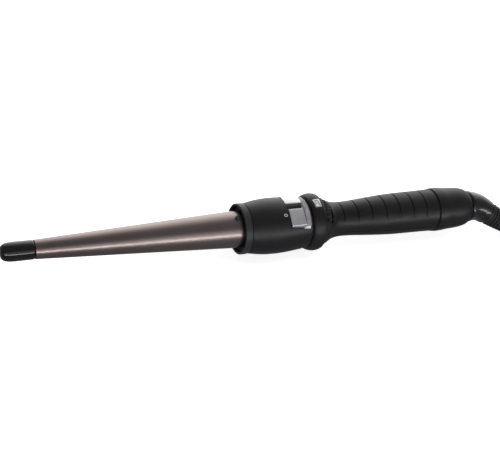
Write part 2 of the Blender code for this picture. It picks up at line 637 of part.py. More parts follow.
CORD_ROUTE = [
    (390.6, -23.1, 5.9), (397.0, -24.6, 4.9), (404.0, -25.6, 4.1), (412.0, -25.6, 3.6),
    (420.5, -24.6, 3.4), (429.0, -22.6, 3.4), (437.0, -20.1, 3.4), (445.3, -19.4, 3.4),
]
tube("cord_run", CORD_ROUTE, [CORD_RADIUS] * len(CORD_ROUTE), RUBBER, table, resolution=3)

HANK_CORNER = 7.0
HANK_WAIST_REACH = 24.0
middle_of_tie = (TIE_FRONT + TIE_REAR) / 2
hank_side = [
    (HANK_FRONT, HANK_HALF_WIDTH - HANK_CORNER), (HANK_FRONT + 2, HANK_HALF_WIDTH - 2),
    (HANK_FRONT + HANK_CORNER, HANK_HALF_WIDTH), (middle_of_tie - HANK_WAIST_REACH, HANK_HALF_WIDTH),
    (TIE_FRONT, HANK_WAIST), (TIE_REAR, HANK_WAIST),
    (middle_of_tie + HANK_WAIST_REACH, HANK_HALF_WIDTH), (HANK_REAR - HANK_CORNER, HANK_HALF_WIDTH),
    (HANK_REAR - 2, HANK_HALF_WIDTH - 2), (HANK_REAR, HANK_HALF_WIDTH - HANK_CORNER),
]
hank_outline = hank_side + [(station, -across) for station, across in reversed(hank_side)]
hank = plate("cord_hank", hank_outline, (0.1, HANK_TOP), RUBBER, table)
tail_notch = box("tail_notch", (TIE_REAR + 1.5, HANK_REAR + 5), (8.0, 40.0), (24.8, 40.0), None, table)
TIE_INSETS = {"seat": 1.7, "bore": 1.4, "outside": 0.3}


def tie_section(name, inset, stations):
    """The hank's section at its waist, smaller all round by an inset."""
    return box(
        name, stations, (inset - HANK_WAIST, HANK_WAIST - inset), (0.1 + inset, HANK_TOP - inset),
        None, table)


tie_seat = box("tie_seat", (TIE_FRONT, TIE_REAR), (-40, 40), (-5, 60), None, table)
combine(tie_seat, tie_section("tie_seat_core", TIE_INSETS["seat"], (TIE_FRONT - 5, TIE_REAR + 5)))
combine(hank, tail_notch, tie_seat)
tie = box(
    "cord_tie", (TIE_FRONT + GAP, TIE_REAR - GAP),
    (TIE_INSETS["outside"] - HANK_WAIST, HANK_WAIST - TIE_INSETS["outside"]),
    (0.1, HANK_TOP - 0.1), RUBBER, table)
combine(tie, tie_section("tie_bore", TIE_INSETS["bore"], (TIE_FRONT - 5, TIE_REAR + 5)))

TAIL_ROUTE = [
    (552.9, 11.9, 28.2), (547.0, 17.2, 28.3), (539.0, 19.9, 28.6), (530.0, 20.2, 29.8),
    (521.0, 19.0, 32.8), (512.5, 16.4, 35.7), (506.0, 13.6, 37.8), (499.3, 12.3, 38.6),
]
tube("cord_tail", TAIL_ROUTE, [CORD_RADIUS] * len(TAIL_ROUTE), RUBBER, table, resolution=3)

plug_bottom = HANK_TOP + GAP
plug_rear = PLUG_ENTRY - 12.0
plug_front = plug_rear - PLUG_LENGTH
plug_side = [
    (PLUG_ENTRY, 3.9), (plug_rear + 4, 4.8), (plug_rear, 6.5), (plug_rear - 8, 13.0),
    (plug_rear - 18, 17.6), (plug_front, 17.0),
]
plug_outline = [(station, PLUG_ACROSS + half) for station, half in plug_side]
plug_outline += [(station, PLUG_ACROSS - half) for station, half in reversed(plug_side)]
plug = plate("plug_body", plug_outline, (plug_bottom, plug_bottom + PLUG_THICKNESS), RUBBER, table)
plug_middle = plug_bottom + PLUG_THICKNESS / 2
PIN_ROOT = 8.0
for name, side in (("plug_pin_live", 1), ("plug_pin_neutral", -1)):
    across = PLUG_ACROSS + side * PIN_SPACING / 2
    root = (plug_front + PIN_ROOT, across, plug_middle)
    combine(plug, rod(name + "_bore", (root[0] + GAP, *root[1:]), (plug_front - 5, *root[1:]),
                      PIN_RADIUS + GAP, None, table))
    rod(name, root, (plug_front - PIN_LENGTH, *root[1:]), PIN_RADIUS, BRASS, table, sides=20)
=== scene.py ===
# %% [markdown]
# # A conical hair curling wand
# The wand is a coated metal cone with a black cool tip, a deep collar, a housing with a
# rocker switch, a ring with a small window over a heat dial, a grooved handle and a mains
# cord on a swivel elbow. The frame brings the model's solids, its joints and its record.
# This file makes the surfaces that are seen, one piece at a time, around that frame.

# %% Load the frame
import json
import math

import bmesh
import bpy
from mathutils import Matrix, Vector


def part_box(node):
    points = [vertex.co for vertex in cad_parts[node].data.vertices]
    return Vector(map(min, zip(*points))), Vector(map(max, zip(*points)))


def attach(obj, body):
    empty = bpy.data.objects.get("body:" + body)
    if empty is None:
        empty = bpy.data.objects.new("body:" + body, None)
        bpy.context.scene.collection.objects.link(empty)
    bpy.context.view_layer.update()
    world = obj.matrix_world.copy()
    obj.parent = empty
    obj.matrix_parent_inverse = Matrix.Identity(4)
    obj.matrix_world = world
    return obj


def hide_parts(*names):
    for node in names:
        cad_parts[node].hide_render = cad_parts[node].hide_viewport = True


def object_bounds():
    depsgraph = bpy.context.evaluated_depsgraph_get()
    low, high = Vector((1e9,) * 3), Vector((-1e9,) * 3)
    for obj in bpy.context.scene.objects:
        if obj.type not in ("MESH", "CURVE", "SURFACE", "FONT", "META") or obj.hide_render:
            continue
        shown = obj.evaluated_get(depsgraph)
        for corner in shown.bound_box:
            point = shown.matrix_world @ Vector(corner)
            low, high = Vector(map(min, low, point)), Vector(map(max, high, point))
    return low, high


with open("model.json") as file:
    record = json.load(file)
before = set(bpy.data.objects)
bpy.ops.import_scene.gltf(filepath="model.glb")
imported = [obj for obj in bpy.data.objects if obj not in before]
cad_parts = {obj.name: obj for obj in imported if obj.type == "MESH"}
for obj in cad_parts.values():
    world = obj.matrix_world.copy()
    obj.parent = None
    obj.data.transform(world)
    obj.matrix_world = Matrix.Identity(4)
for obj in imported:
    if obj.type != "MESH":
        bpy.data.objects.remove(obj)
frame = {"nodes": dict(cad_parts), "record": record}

cad_low, cad_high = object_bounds()

# %% [markdown]
# Everything is placed from the frame. The barrel's small end is station 0, the wand's axis
# runs level through the collar's middle, and the table is at the lowest point. Lengths are
# written in millimetres, because the pieces are small, and turned into metres in one place.

# %% Places
MM = 0.001
barrel_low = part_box("barrel")[0]
collar_low, collar_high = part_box("front_collar")
ZERO = barrel_low[0]
AXIS = (collar_low[2] + collar_high[2]) / 2


def at_wand(station, across=0.0, height=0.0):
    """A point from its station, its Y and its height above the wand's axis, in millimetres."""
    return Vector((ZERO + station * MM, across * MM, AXIS + height * MM))


def at_table(station, across, height):
    """A point from its station, its Y and its height above the table, in millimetres."""
    return Vector((ZERO + station * MM, across * MM, height * MM))


def in_scene(name, data):
    """A new object in the scene, from its data."""
    made = bpy.data.objects.new(name, data)
    bpy.context.scene.collection.objects.link(made)
    return made


print("station 0 at x", round(ZERO, 4), "axis height", round(AXIS, 4))

# %% [markdown]
# ## Camera
# The camera looks down on the wand from its near side, so that the barrel runs off to the
# left and the handle to the right. A camera could be aimed with a Track To constraint, but
# three directions written as a matrix also give the small roll that the view has.

# %% Camera
CAMERA_PLACE = at_wand(-130.0, -375.69, 536.54)
CAMERA_RIGHT = Vector((0.91499, -0.30601, 0.26296))
CAMERA_FORWARD = Vector((0.39314, 0.52961, -0.75164))
CAMERA_LENS = 74.1

forward = CAMERA_FORWARD.normalized()
right = (CAMERA_RIGHT - forward * CAMERA_RIGHT.dot(forward)).normalized()
upward = right.cross(forward)
camera_data = bpy.data.cameras.new("camera")
camera_data.lens = CAMERA_LENS
camera_data.sensor_width = 36.0
camera_data.clip_start = 0.01
camera = in_scene("camera", camera_data)
turned_frame = Matrix((right, upward, -forward)).transposed().to_4x4()
camera.matrix_world = Matrix.Translation(CAMERA_PLACE) @ turned_frame
bpy.context.scene.camera = camera
print("camera at", [round(value, 3) for value in CAMERA_PLACE])

# %% [markdown]
# ## Finishes
# A moulded or coated surface is never one flat colour: its tone drifts a little over
# centimetres, its gloss drifts with it, and it has a fine grain. One function builds that
# from two noise textures, and each finish states its own colour, gloss and grain. The
# noises read Object coordinates, so they are real sizes in metres and stay on the piece.

# %% A procedural surface


def surface(name, colour, roughness, metallic=0.0, drift=0.12, gloss_drift=0.05, cloud=45.0,
            grain=2600.0, depth=0.012, strength=0.5, stretch=(1, 1, 1), **settings):
    """A Principled material whose tone and gloss drift, with a fine bumped grain."""
    made = bpy.data.materials.new(name)
    made.use_nodes = True
    nodes = made.node_tree.nodes
    links = made.node_tree.links
    shader = nodes["Principled BSDF"]
    coordinates = nodes.new("ShaderNodeTexCoord")
    clouds = nodes.new("ShaderNodeTexNoise")
    clouds.inputs["Scale"].default_value = cloud
    clouds.inputs["Detail"].default_value = 3.0
    links.new(coordinates.outputs["Object"], clouds.inputs["Vector"])
    tones = nodes.new("ShaderNodeValToRGB")
    tones.color_ramp.elements[0].position = 0.3
    tones.color_ramp.elements[1].position = 0.7
    tones.color_ramp.elements[0].color = (*[value * (1 - drift) for value in colour], 1)
    tones.color_ramp.elements[1].color = (*[value * (1 + drift) for value in colour], 1)
    links.new(clouds.outputs["Fac"], tones.inputs["Fac"])
    links.new(tones.outputs["Color"], shader.inputs["Base Color"])
    gloss = nodes.new("ShaderNodeMapRange")
    gloss.inputs["From Min"].default_value = 0.3
    gloss.inputs["From Max"].default_value = 0.7
    gloss.inputs["To Min"].default_value = max(roughness - gloss_drift, 0.02)
    gloss.inputs["To Max"].default_value = roughness + gloss_drift
    links.new(clouds.outputs["Fac"], gloss.inputs["Value"])
    links.new(gloss.outputs["Result"], shader.inputs["Roughness"])
    placing = nodes.new("ShaderNodeMapping")
    placing.inputs["Scale"].default_value = stretch
    links.new(coordinates.outputs["Object"], placing.inputs["Vector"])
    grains = nodes.new("ShaderNodeTexNoise")
    grains.inputs["Scale"].default_value = grain
    grains.inputs["Detail"].default_value = 2.0
    links.new(placing.outputs["Vector"], grains.inputs["Vector"])
    bump = nodes.new("ShaderNodeBump")
    bump.inputs["Strength"].default_value = strength
    bump.inputs["Distance"].default_value = depth * MM
    links.new(grains.outputs["Fac"], bump.inputs["Height"])
    links.new(bump.outputs["Normal"], shader.inputs["Normal"])
    shader.inputs["Metallic"].default_value = metallic
    for socket, value in settings.items():
        shader.inputs[socket.replace("_", " ")].default_value = value
    return made


# %% [markdown]
# The visible finishes: a brushed titanium coat whose fine lines run round the barrel, a
# soft-touch black on collar, housing and handle, its copy on the collar lighter as painted
# sheen, a gloss black on the cool tip and the elbow, a satin silver rocker, a chrome window
# frame, clear plastic, and cord rubber.

# %% Visible finishes
TITANIUM = surface("titanium_coat", (0.365, 0.298, 0.285), 0.31, 1.0, drift=0.05, gloss_drift=0.02,
                   cloud=30.0, grain=900.0, depth=0.003, strength=0.35, stretch=(6, 1, 1))
SOFT_BLACK = surface("soft_touch_black", (0.0055, 0.0055, 0.0063), 0.40, drift=0.10, cloud=60.0,
                     grain=5200.0, depth=0.010, strength=0.35)
# A lighter, bluish copy of the soft-touch black: painted sheen for the collar's highlights.
COLLAR_BLACK_PAINTED_SHEEN = surface("collar_black_painted_sheen", (0.0170, 0.0175, 0.0190), 0.42, drift=0.10, cloud=60.0,
                       grain=5200.0, depth=0.008, strength=0.35)
WHEEL_BLACK = surface("thumbwheel_black", (0.0060, 0.0060, 0.0068), 0.22, drift=0.10, gloss_drift=0.04,
                      cloud=90.0, grain=3000.0, depth=0.004, strength=0.3)
HANDLE_BLACK = surface("handle_black", (0.0055, 0.0055, 0.0060), 0.42, drift=0.12, cloud=40.0,
                       grain=4200.0, depth=0.016, strength=0.45)
TIP_BLACK = surface("cool_tip_gloss", (0.0030, 0.0030, 0.0036), 0.15, drift=0.10, gloss_drift=0.03,
                    cloud=80.0, grain=500.0, depth=0.002, strength=0.2, Coat_Weight=0.5,
                    Coat_Roughness=0.08)
ELBOW_BLACK = surface("elbow_gloss", (0.0030, 0.0030, 0.0036), 0.26, drift=0.10, gloss_drift=0.04,
                      cloud=80.0, grain=500.0, depth=0.003, strength=0.25, Coat_Weight=1.0,
                      Coat_Roughness=0.17)
SATIN_SILVER = surface("satin_silver", (0.72, 0.72, 0.74), 0.33, 0.85, drift=0.04, gloss_drift=0.04,
                       cloud=90.0, grain=7000.0, depth=0.006, strength=0.4)
CHROME = surface("window_chrome", (0.80, 0.80, 0.82), 0.10, 1.0, drift=0.03, gloss_drift=0.03,
                 cloud=200.0, grain=3000.0, depth=0.002, strength=0.3)
WINDOW_CLEAR = surface("window_clear", (0.92, 0.93, 0.93), 0.05, drift=0.01, gloss_drift=0.02,
                       cloud=150.0, grain=900.0, depth=0.002, strength=0.2,
                       Transmission_Weight=1.0, IOR=1.47)
LENS_CLEAR = surface("lens_clear", (0.36, 0.34, 0.37), 0.16, drift=0.05, gloss_drift=0.04,
                     cloud=260.0, grain=1800.0, depth=0.005, strength=0.3,
                     Transmission_Weight=0.6, IOR=1.49)
CORD_RUBBER = surface("cord_rubber", (0.0130, 0.0130, 0.0135), 0.52, drift=0.14, cloud=70.0,
                      grain=3200.0, depth=0.020, strength=0.5)
PLUG_RUBBER = surface("plug_rubber", (0.0150, 0.0150, 0.0155), 0.45, drift=0.12, cloud=80.0,
                      grain=3600.0, depth=0.018, strength=0.5)
PRINT_GREY = surface("print_grey", (0.48, 0.48, 0.49), 0.55, drift=0.05, cloud=300.0, grain=6000.0,
                     depth=0.004)
PRINT_DARK = surface("print_dark", (0.16, 0.16, 0.17), 0.55, drift=0.05, cloud=300.0, grain=6000.0,
                     depth=0.004)
# The drum's pale grey glows a little: painted light, as if lit through the clear window.
DRUM_GREY_PAINTED_GLOW = surface("drum_grey_painted_glow", (0.78, 0.78, 0.79), 0.50, drift=0.05, cloud=150.0, grain=4000.0,
                    depth=0.008, Emission_Color=(0.9, 0.9, 0.92, 1), Emission_Strength=0.4)
TIE_BLACK = surface("tie_black", (0.0120, 0.0120, 0.0125), 0.75, drift=0.25, cloud=400.0,
                    grain=2200.0, depth=0.10, strength=0.8)
NICKEL = surface("pin_nickel", (0.66, 0.63, 0.57), 0.24, 1.0, drift=0.05, cloud=160.0, grain=2600.0,
                 depth=0.004)
SLEEVE_BLACK = surface("pin_sleeve", (0.020, 0.020, 0.021), 0.38, drift=0.10, cloud=160.0,
                       grain=3000.0, depth=0.006)

# %% [markdown]
# Inside the wand are the heater, the switch, the dial's axle, the boards and the leads.
# They keep the frame's own solids, because they are hidden or only glimpsed, but each
# still gets the finish of what it is made of, through its first material slot.

# %% Finishes of the inner parts
INNER = {
    "steel": surface("turned_steel", (0.46, 0.46, 0.47), 0.33, 1.0, drift=0.05, cloud=120.0,
                     grain=180.0, depth=0.006, stretch=(12, 1, 1)),
    "dark_steel": surface("blackened_steel", (0.07, 0.07, 0.072), 0.38, 0.8, cloud=200.0,
                          grain=2600.0, depth=0.008),
    "brass": surface("contact_brass", (0.68, 0.50, 0.22), 0.28, 1.0, drift=0.08, cloud=120.0,
                     grain=2400.0, depth=0.006),
    "aluminium": surface("extruded_aluminium", (0.62, 0.62, 0.63), 0.42, 1.0, drift=0.05, cloud=60.0,
                         grain=120.0, depth=0.012, stretch=(1, 14, 14)),
    "ceramic": surface("fired_ceramic", (0.78, 0.77, 0.72), 0.50, drift=0.05, cloud=180.0,
                       grain=1800.0, depth=0.020),
    "heat_resin": surface("heat_resin", (0.055, 0.050, 0.046), 0.58, drift=0.15, cloud=120.0,
                          grain=1600.0, depth=0.025),
    "board": surface("circuit_board", (0.04, 0.20, 0.08), 0.42, drift=0.12, cloud=300.0,
                     grain=2000.0, depth=0.015),
    "capacitor_blue": surface("capacitor_case", (0.05, 0.13, 0.33), 0.35, cloud=200.0, grain=2400.0,
                              depth=0.010),
    "lamp_red": surface("lamp_red", (0.70, 0.06, 0.04), 0.20, drift=0.05, cloud=300.0, grain=1500.0,
                        depth=0.004, Transmission_Weight=0.4),
    "lead_red": surface("lead_red", (0.42, 0.04, 0.03), 0.40, cloud=260.0, grain=2600.0,
                        depth=0.010),
    "lead_white": surface("lead_white", (0.74, 0.74, 0.71), 0.42, drift=0.04, cloud=260.0,
                          grain=2600.0, depth=0.010),
    "carbon": surface("pressed_carbon", (0.028, 0.028, 0.030), 0.48, cloud=300.0, grain=3000.0,
                      depth=0.020),
    "soft_black": SOFT_BLACK,
}
CARRIED = 0
for subpart in frame["record"]["subparts"]:
    if subpart["material_slot"] in INNER:
        solid = frame["nodes"][subpart["node"]]
        solid.data.materials.clear()
        solid.data.materials.append(INNER[subpart["material_slot"]])
        CARRIED += 1
print(CARRIED, "carried solids have a finish")

# %% [markdown]
# ## Ways of making a piece
# Most of the wand is turned, so most pieces start as a half profile: a list of corners,
# each with its station, its radius and how far its rounding reaches. `eased` rounds the
# corners, `flowing` draws a smooth line through a few points, and `turned` spins the
# result. Blender's Screw modifier could spin it too. Doing it in bmesh gives a plain mesh
# at once, already in its place.

# %% Profiles and turned pieces
OUTLINE_STEPS = 5


def eased(corners, closed=True):
    """Corners of (along, out, reach) with each corner drawn as a small curve."""
    points = []
    last = len(corners) - 1
    for index, (along, out, reach) in enumerate(corners):
        here = Vector((along, out))
        if reach <= 0 or (not closed and index in (0, last)):
            points.append((along, out))
            continue
        before = Vector(corners[index - 1][:2]) - here
        after = Vector(corners[(index + 1) % len(corners)][:2]) - here
        reach = min(reach, before.length * 0.48, after.length * 0.48)
        start = here + before.normalized() * reach
        end = here + after.normalized() * reach
        for step in range(OUTLINE_STEPS + 1):
            share = step / OUTLINE_STEPS
            near = start.lerp(here, share)
            far = here.lerp(end, share)
            points.append(tuple(near.lerp(far, share)))
    return points


def flowing(points, steps):
    """A smooth line through points of any dimension, with steps for each stretch."""
    places = [Vector(point) for point in points]
    ends = [places[0] * 2 - places[1]] + places + [places[-1] * 2 - places[-2]]
    line = []
    for index in range(len(places) - 1):
        before, start, end, after = ends[index:index + 4]
        for step in range(steps):
            t = step / steps
            line.append(
                start + (end - before) * (t / 2)
                + (before * 2 - start * 5 + end * 4 - after) * (t * t / 2)
                + (start * 3 - before - end * 3 + after) * (t ** 3 / 2))
    return line + [places[-1]]


def turned_form(profile, steps=160, across=0.0, height=0.0):
    """A closed (station, radius) profile spun about an axis along X."""
    form = bmesh.new()
    points = [form.verts.new(at_wand(station, across, height + radius)) for station, radius in profile]
    lines = [form.edges.new(pair) for pair in zip(points, points[1:] + points[:1])]
    bmesh.ops.spin(form, geom=points + lines, cent=at_wand(0, across, height), axis=(1, 0, 0),
                   angle=math.tau, steps=steps, use_merge=True)
    bmesh.ops.remove_doubles(form, verts=form.verts, dist=0.0000005)
    bmesh.ops.dissolve_degenerate(form, edges=form.edges, dist=0.0000002)
    bmesh.ops.recalc_face_normals(form, faces=form.faces)
    return form


# %% [markdown]
# A finished piece always needs the same few things: its mesh, its finish, shading that is
# smooth but keeps real edges, the body that it moves with and the solids that it stands
# for. One function does them, and prints what it made.

# %% Finishing a piece
SHARP = math.radians(40)


def as_object(name, form, sharp=SHARP):
    """A mesh object from a bmesh."""
    mesh = bpy.data.meshes.new(name)
    form.to_mesh(mesh)
    form.free()
    mesh.shade_smooth()
    mesh.set_sharp_from_angle(angle=sharp)
    return in_scene(name, mesh)


def shown_mesh(made):
    """The mesh that an object shows, with its modifiers or its letters worked out."""
    ready = bpy.context.evaluated_depsgraph_get()
    return bpy.data.meshes.new_from_object(made.evaluated_get(ready))


def settle(made, sharp=SHARP):
    """Turn what the modifiers show into the piece's own mesh."""
    mesh = shown_mesh(made)
    made.modifiers.clear()
    made.data = mesh
    mesh.shade_smooth()
    mesh.set_sharp_from_angle(angle=sharp)
    return made


def carve(made, *cutters, how="DIFFERENCE"):
    """Cut a piece with other shapes, which are then removed."""
    for cutter in cutters:
        cut = made.modifiers.new("cut", "BOOLEAN")
        cut.operation = how
        cut.solver = "EXACT"
        cut.object = cutter
    settle(made)
    for cutter in cutters:
        bpy.data.objects.remove(cutter)
    return made


def soften(made, width, segments=3, angle=SHARP):
    """Round a piece's sharp edges."""
    edge = made.modifiers.new("edges", "BEVEL")
    edge.width = width * MM
    edge.segments = segments
    edge.limit_method = "ANGLE"
    edge.angle_limit = angle
    edge.harden_normals = False
    return settle(made)


def fitted(made, finish, body, slot, *nodes):
    """Give a piece its finish, its body and the solids that it replaces. The slot is not used."""
    made.data.materials.clear()
    made.data.materials.append(finish)
    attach(made, body)
    if nodes:
        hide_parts(*nodes)
    faces = len(made.data.polygons) if made.type == "MESH" else 0
    print(made.name, "-", faces, "faces, rides on", body)
    return made


# %% [markdown]
# Flat shapes such as the rocker's end view are outlines pulled along X, and the elbow and
# the strain relief are swept along a path with a radius for each point. Sweeping by hand
# keeps the rings square to the path, which a bevelled curve also does, but gives a mesh
# that can be cut and softened.

# %% Pulled and swept pieces


def joined_form(rings, caps=True):
    """A skin over rings of points in metres, closed at both ends unless caps is False."""
    form = bmesh.new()
    rows = [[form.verts.new(point) for point in ring] for ring in rings]
    for first, second in zip(rows, rows[1:]):
        for index in range(len(first)):
            after = (index + 1) % len(first)
            form.faces.new((first[index], first[after], second[after], second[index]))
    if caps:
        form.faces.new(rows[0])
        form.faces.new(rows[-1])
    bmesh.ops.recalc_face_normals(form, faces=form.faces)
    return form


def pulled_form(outline, stations):
    """An outline of (Y, height) points pulled between two stations."""
    return joined_form([[at_wand(station, *point) for point in outline] for station in stations])


def swept_form(path, radii, sides=48):
    """A round bar along a path of points in metres, closed at both ends."""
    rings = []
    side = Vector((0, 1, 0))
    for index, (place, radius) in enumerate(zip(path, radii)):
        way = (path[min(index + 1, len(path) - 1)] - path[max(index - 1, 0)]).normalized()
        side = (side - way * side.dot(way)).normalized()
        other = way.cross(side)
        turns = [math.tau * step / sides for step in range(sides)]
        rings.append([place + (side * math.cos(turn) + other * math.sin(turn)) * radius * MM
                      for turn in turns])
    return joined_form(rings)


def block_form(low, high):
    """A box between two corners in metres."""
    form = bmesh.new()
    middle = (Vector(low) + Vector(high)) / 2
    size = Vector(high) - Vector(low)
    placing = Matrix.Translation(middle) @ Matrix.Diagonal((*size, 1))
    bmesh.ops.create_cube(form, size=1.0, matrix=placing)
    return form


def add_rod(form, middle, radius, length):
    """Add an upright round bar, for cutting a screw's hole."""
    bmesh.ops.create_cone(form, cap_ends=True, segments=48, radius1=radius * MM, radius2=radius * MM,
                          depth=length * MM, matrix=Matrix.Translation(middle))


# %% [markdown]
# ## Cord
# The mains cord is 2.8 m of 6.2 mm round lead, as professional wands have. It runs inside
# the strain relief, comes down to the table and is put away as a hank in line with the
# wand, held by a tie, because a shelf has no room for a loose cord of that length. Its
# free route is a list of points. The hank is a racetrack winding, two turns wide and five
# layers high, and a loop works it out. At the front folds each turn steps to its next
# place, and the later turns step first, so that none has to pass through another.

# %% The winding's rule
CORD_DIAMETER = 6.2
OUTER_FOLD = 26.3
FOLD_FRONT = 475.5
FOLD_REAR = 536.6
LAYER = 6.25
LOWEST = 3.2
WAIST = 506.0
WAIST_REACH = 29.0
WAIST_PULL = 11.1
WAIST_LOW = 4.6
WAIST_LAYER = 5.6
FOLD_STEPS = 20
STRAIGHT_STEPS = 10
TURNS = 9
LAST_FOLD = 0.66
LATEST_STEP = 0.80 * math.pi
STEP_SPREAD = 0.60 * math.pi
STEP_WIDTH = 0.40 * math.pi


def easing(share):
    """A smooth step from 0 to 1."""
    share = min(max(share, 0.0), 1.0)
    return share * share * (3 - 2 * share)


def berth(turn):
    """The fold radius and height of a turn: outer, inner, then up a layer and back out."""
    layer, second = divmod(turn, 2)
    inner = (layer + second) % 2
    return OUTER_FOLD - inner * CORD_DIAMETER, layer


def straight_place(station, side, radius, layer):
    """A point on a straight, pulled in and pressed together under the tie."""
    pinch = easing(1 - abs(station - WAIST) / WAIST_REACH)
    height = LOWEST + layer * LAYER
    pinched = WAIST_LOW + layer * WAIST_LAYER
    return at_table(station, side * (radius - WAIST_PULL * pinch), height + (pinched - height) * pinch)


def winding():
    """The hank's centreline, from its start on the near side to its last rear fold."""
    line = []
    for turn in range(TURNS + 1):
        radius, layer = berth(turn)
        for step in range(STRAIGHT_STEPS):
            station = FOLD_FRONT + (FOLD_REAR - FOLD_FRONT) * step / STRAIGHT_STEPS
            line.append(straight_place(station, -1, radius, layer))
        last_fold = LAST_FOLD if turn == TURNS else 1.0
        for step in range(int(FOLD_STEPS * last_fold)):
            turn_angle = math.pi * step / FOLD_STEPS
            line.append(at_table(FOLD_REAR + radius * math.sin(turn_angle),
                                 -radius * math.cos(turn_angle), LOWEST + layer * LAYER))
        if turn == TURNS:
            break
        for step in range(STRAIGHT_STEPS):
            station = FOLD_REAR + (FOLD_FRONT - FOLD_REAR) * step / STRAIGHT_STEPS
            line.append(straight_place(station, 1, radius, layer))
        next_radius, next_layer = berth(turn + 1)
        for step in range(FOLD_STEPS):
            turn_angle = math.pi * step / FOLD_STEPS
            middle = LATEST_STEP - STEP_SPREAD * turn / (TURNS - 1)
            share = easing((turn_angle - middle) / STEP_WIDTH + 0.5)
            out = radius + (next_radius - radius) * share
            height = LOWEST + LAYER * (layer + (next_layer - layer) * share)
            line.append(at_table(FOLD_FRONT - out * math.sin(turn_angle),
                                 out * math.cos(turn_angle), height))
    return line


# %% [markdown]
# The free stretches are smooth lines through given points: out of the elbow inside
# the relief, down to the table, and at the end from the last fold up to the plug on top.

# %% The cord's whole line
RELIEF_POINTS = [
    (347.3, -5.2, 16.8), (356.0, -9.7, 13.7), (364.5, -13.7, 10.9), (373.0, -17.3, 8.7),
    (381.5, -20.4, 7.1), (390.0, -22.9, 6.0),
]
RUN_POINTS = [
    (397.0, -24.6, 4.9), (404.0, -25.6, 4.1), (412.0, -25.6, 3.6), (420.5, -24.6, 3.4),
    (429.0, -22.6, 3.4), (437.0, -20.1, 3.4), (445.3, -19.4, 3.4), (455.0, -20.8, 3.2),
    (465.0, -24.9, 3.2),
]
TAIL_POINTS = [
    (552.9, 11.9, 28.2), (547.0, 17.2, 28.3), (539.0, 19.9, 28.6), (530.0, 20.2, 29.8),
    (521.0, 19.0, 32.8), (512.5, 16.4, 35.7), (506.0, 13.6, 37.8), (497.0, 12.0, 38.6),
    (488.0, 12.0, 38.6),
]
first_points = RELIEF_POINTS + RUN_POINTS + [(FOLD_FRONT, -OUTER_FOLD, LOWEST)]
free_start = flowing([at_table(*point) for point in first_points], 3)
hank_line = winding()
free_end = flowing([at_table(*point) for point in TAIL_POINTS], 4)
cord_line = free_start[:-1] + hank_line + free_end
measured = sum((second - first).length for first, second in zip(cord_line, cord_line[1:]))
print("cord line", len(cord_line), "points,", round(measured, 3), "m")

cord_curve = bpy.data.curves.new("mains_cord", "CURVE")
cord_curve.dimensions = "3D"
cord_curve.bevel_depth = CORD_DIAMETER / 2 * MM
cord_curve.bevel_resolution = 5
cord_curve.use_fill_caps = True
spline = cord_curve.splines.new("POLY")
spline.points.add(len(cord_line) - 1)
for point, place in zip(spline.points, cord_line):
    point.co = (*place, 1)
spline.use_smooth = True
cord = in_scene("mains_cord", cord_curve)
fitted(cord, CORD_RUBBER, "cord_set", "cord_rubber", "cord_run", "cord_hank", "cord_tail")

# %% [markdown]
# ## Barrel and cool tip
# The barrel is a thin coated tube, a cone of 25.7 down to 12.6 mm. A cone primitive would
# do for the outside, but a turned profile also gives the wall, the rolled small edge and
# the plain stretch inside the collar. One small screw holds it, so a hole is cut for that.

# %% The barrel
SMALL_RADIUS = 6.3
LARGE_RADIUS = 12.85
TAPER_END = 139.0
BARREL_END = 160.0
WALL = 0.95
taper = [(TAPER_END * share / 8, SMALL_RADIUS + (LARGE_RADIUS - SMALL_RADIUS) * share / 8, 0)
         for share in range(1, 8)]
barrel_profile = eased([
    (0.0, SMALL_RADIUS - WALL, 0.3), (0.0, SMALL_RADIUS, 0.45), *taper, (TAPER_END, LARGE_RADIUS, 1.5),
    (BARREL_END, LARGE_RADIUS, 0.2), (BARREL_END, LARGE_RADIUS - WALL, 0.2),
    (TAPER_END, LARGE_RADIUS - WALL, 0)])
barrel = as_object("barrel_skin", turned_form(barrel_profile, steps=192))
BARREL_SCREW = 136.9
SCREW_HOLE = 1.3
hole_form = bmesh.new()
add_rod(hole_form, at_wand(BARREL_SCREW, 0, 12.0), SCREW_HOLE, 8)
carve(barrel, as_object("screw_hole", hole_form))
fitted(barrel, TITANIUM, "wand", "titanium", "barrel")

# %% [markdown]
# The cool tip is a gloss moulding with a blunt rounded nose. Its end has a shallow well
# with the long screw that pulls it against the barrel. The screw's head has a cross slot.

# %% The cool tip
NOSE = -21.4
tip_profile = eased([
    (NOSE, 2.2, 0.2), (NOSE, 3.4, 0.5), (NOSE + 0.9, 4.7, 0.8), (NOSE + 2.3, 5.6, 1.2),
    (NOSE + 4.6, 6.2, 1.6), (NOSE + 8.0, 6.42, 2.0), (-1.2, SMALL_RADIUS + 0.02, 0.8),
    (-0.3, 5.9, 0.3), (-0.3, 4.9, 0), (0.9, 4.9, 0), (0.9, 1.6, 0), (NOSE + 3.9, 1.6, 0),
    (NOSE + 3.9, 2.2, 0)])
cool_tip = as_object("cool_tip_shell", turned_form(tip_profile, steps=128))
fitted(cool_tip, TIP_BLACK, "wand", "cool_tip_black", "cool_tip")

# %% [markdown]
# ## Collar and front housing
# A deep plain ring round the barrel keeps hands off its hot end. Behind it the housing
# swells to its widest under the switch. Both are turned, and the switch's opening is cut
# with a block, then its edges are softened, because a moulded edge is never knife sharp.

# %% The collar
collar_profile = eased([
    (139.8, 16.2, 0.3), (139.8, 17.7, 0.7), (144.4, 17.65, 0.5), (144.75, 17.2, 0.2),
    (144.75, 16.5, 0), (153.0, 16.5, 0.2), (153.0, 13.3, 0.2), (143.7, 13.3, 0.4), (143.7, 16.0, 0.8)])
collar = as_object("collar_ring", turned_form(collar_profile, steps=160))
# The collar's lighter black is painted sheen, not a different plastic.
fitted(collar, COLLAR_BLACK_PAINTED_SHEEN, "wand", "soft_black", "front_collar")

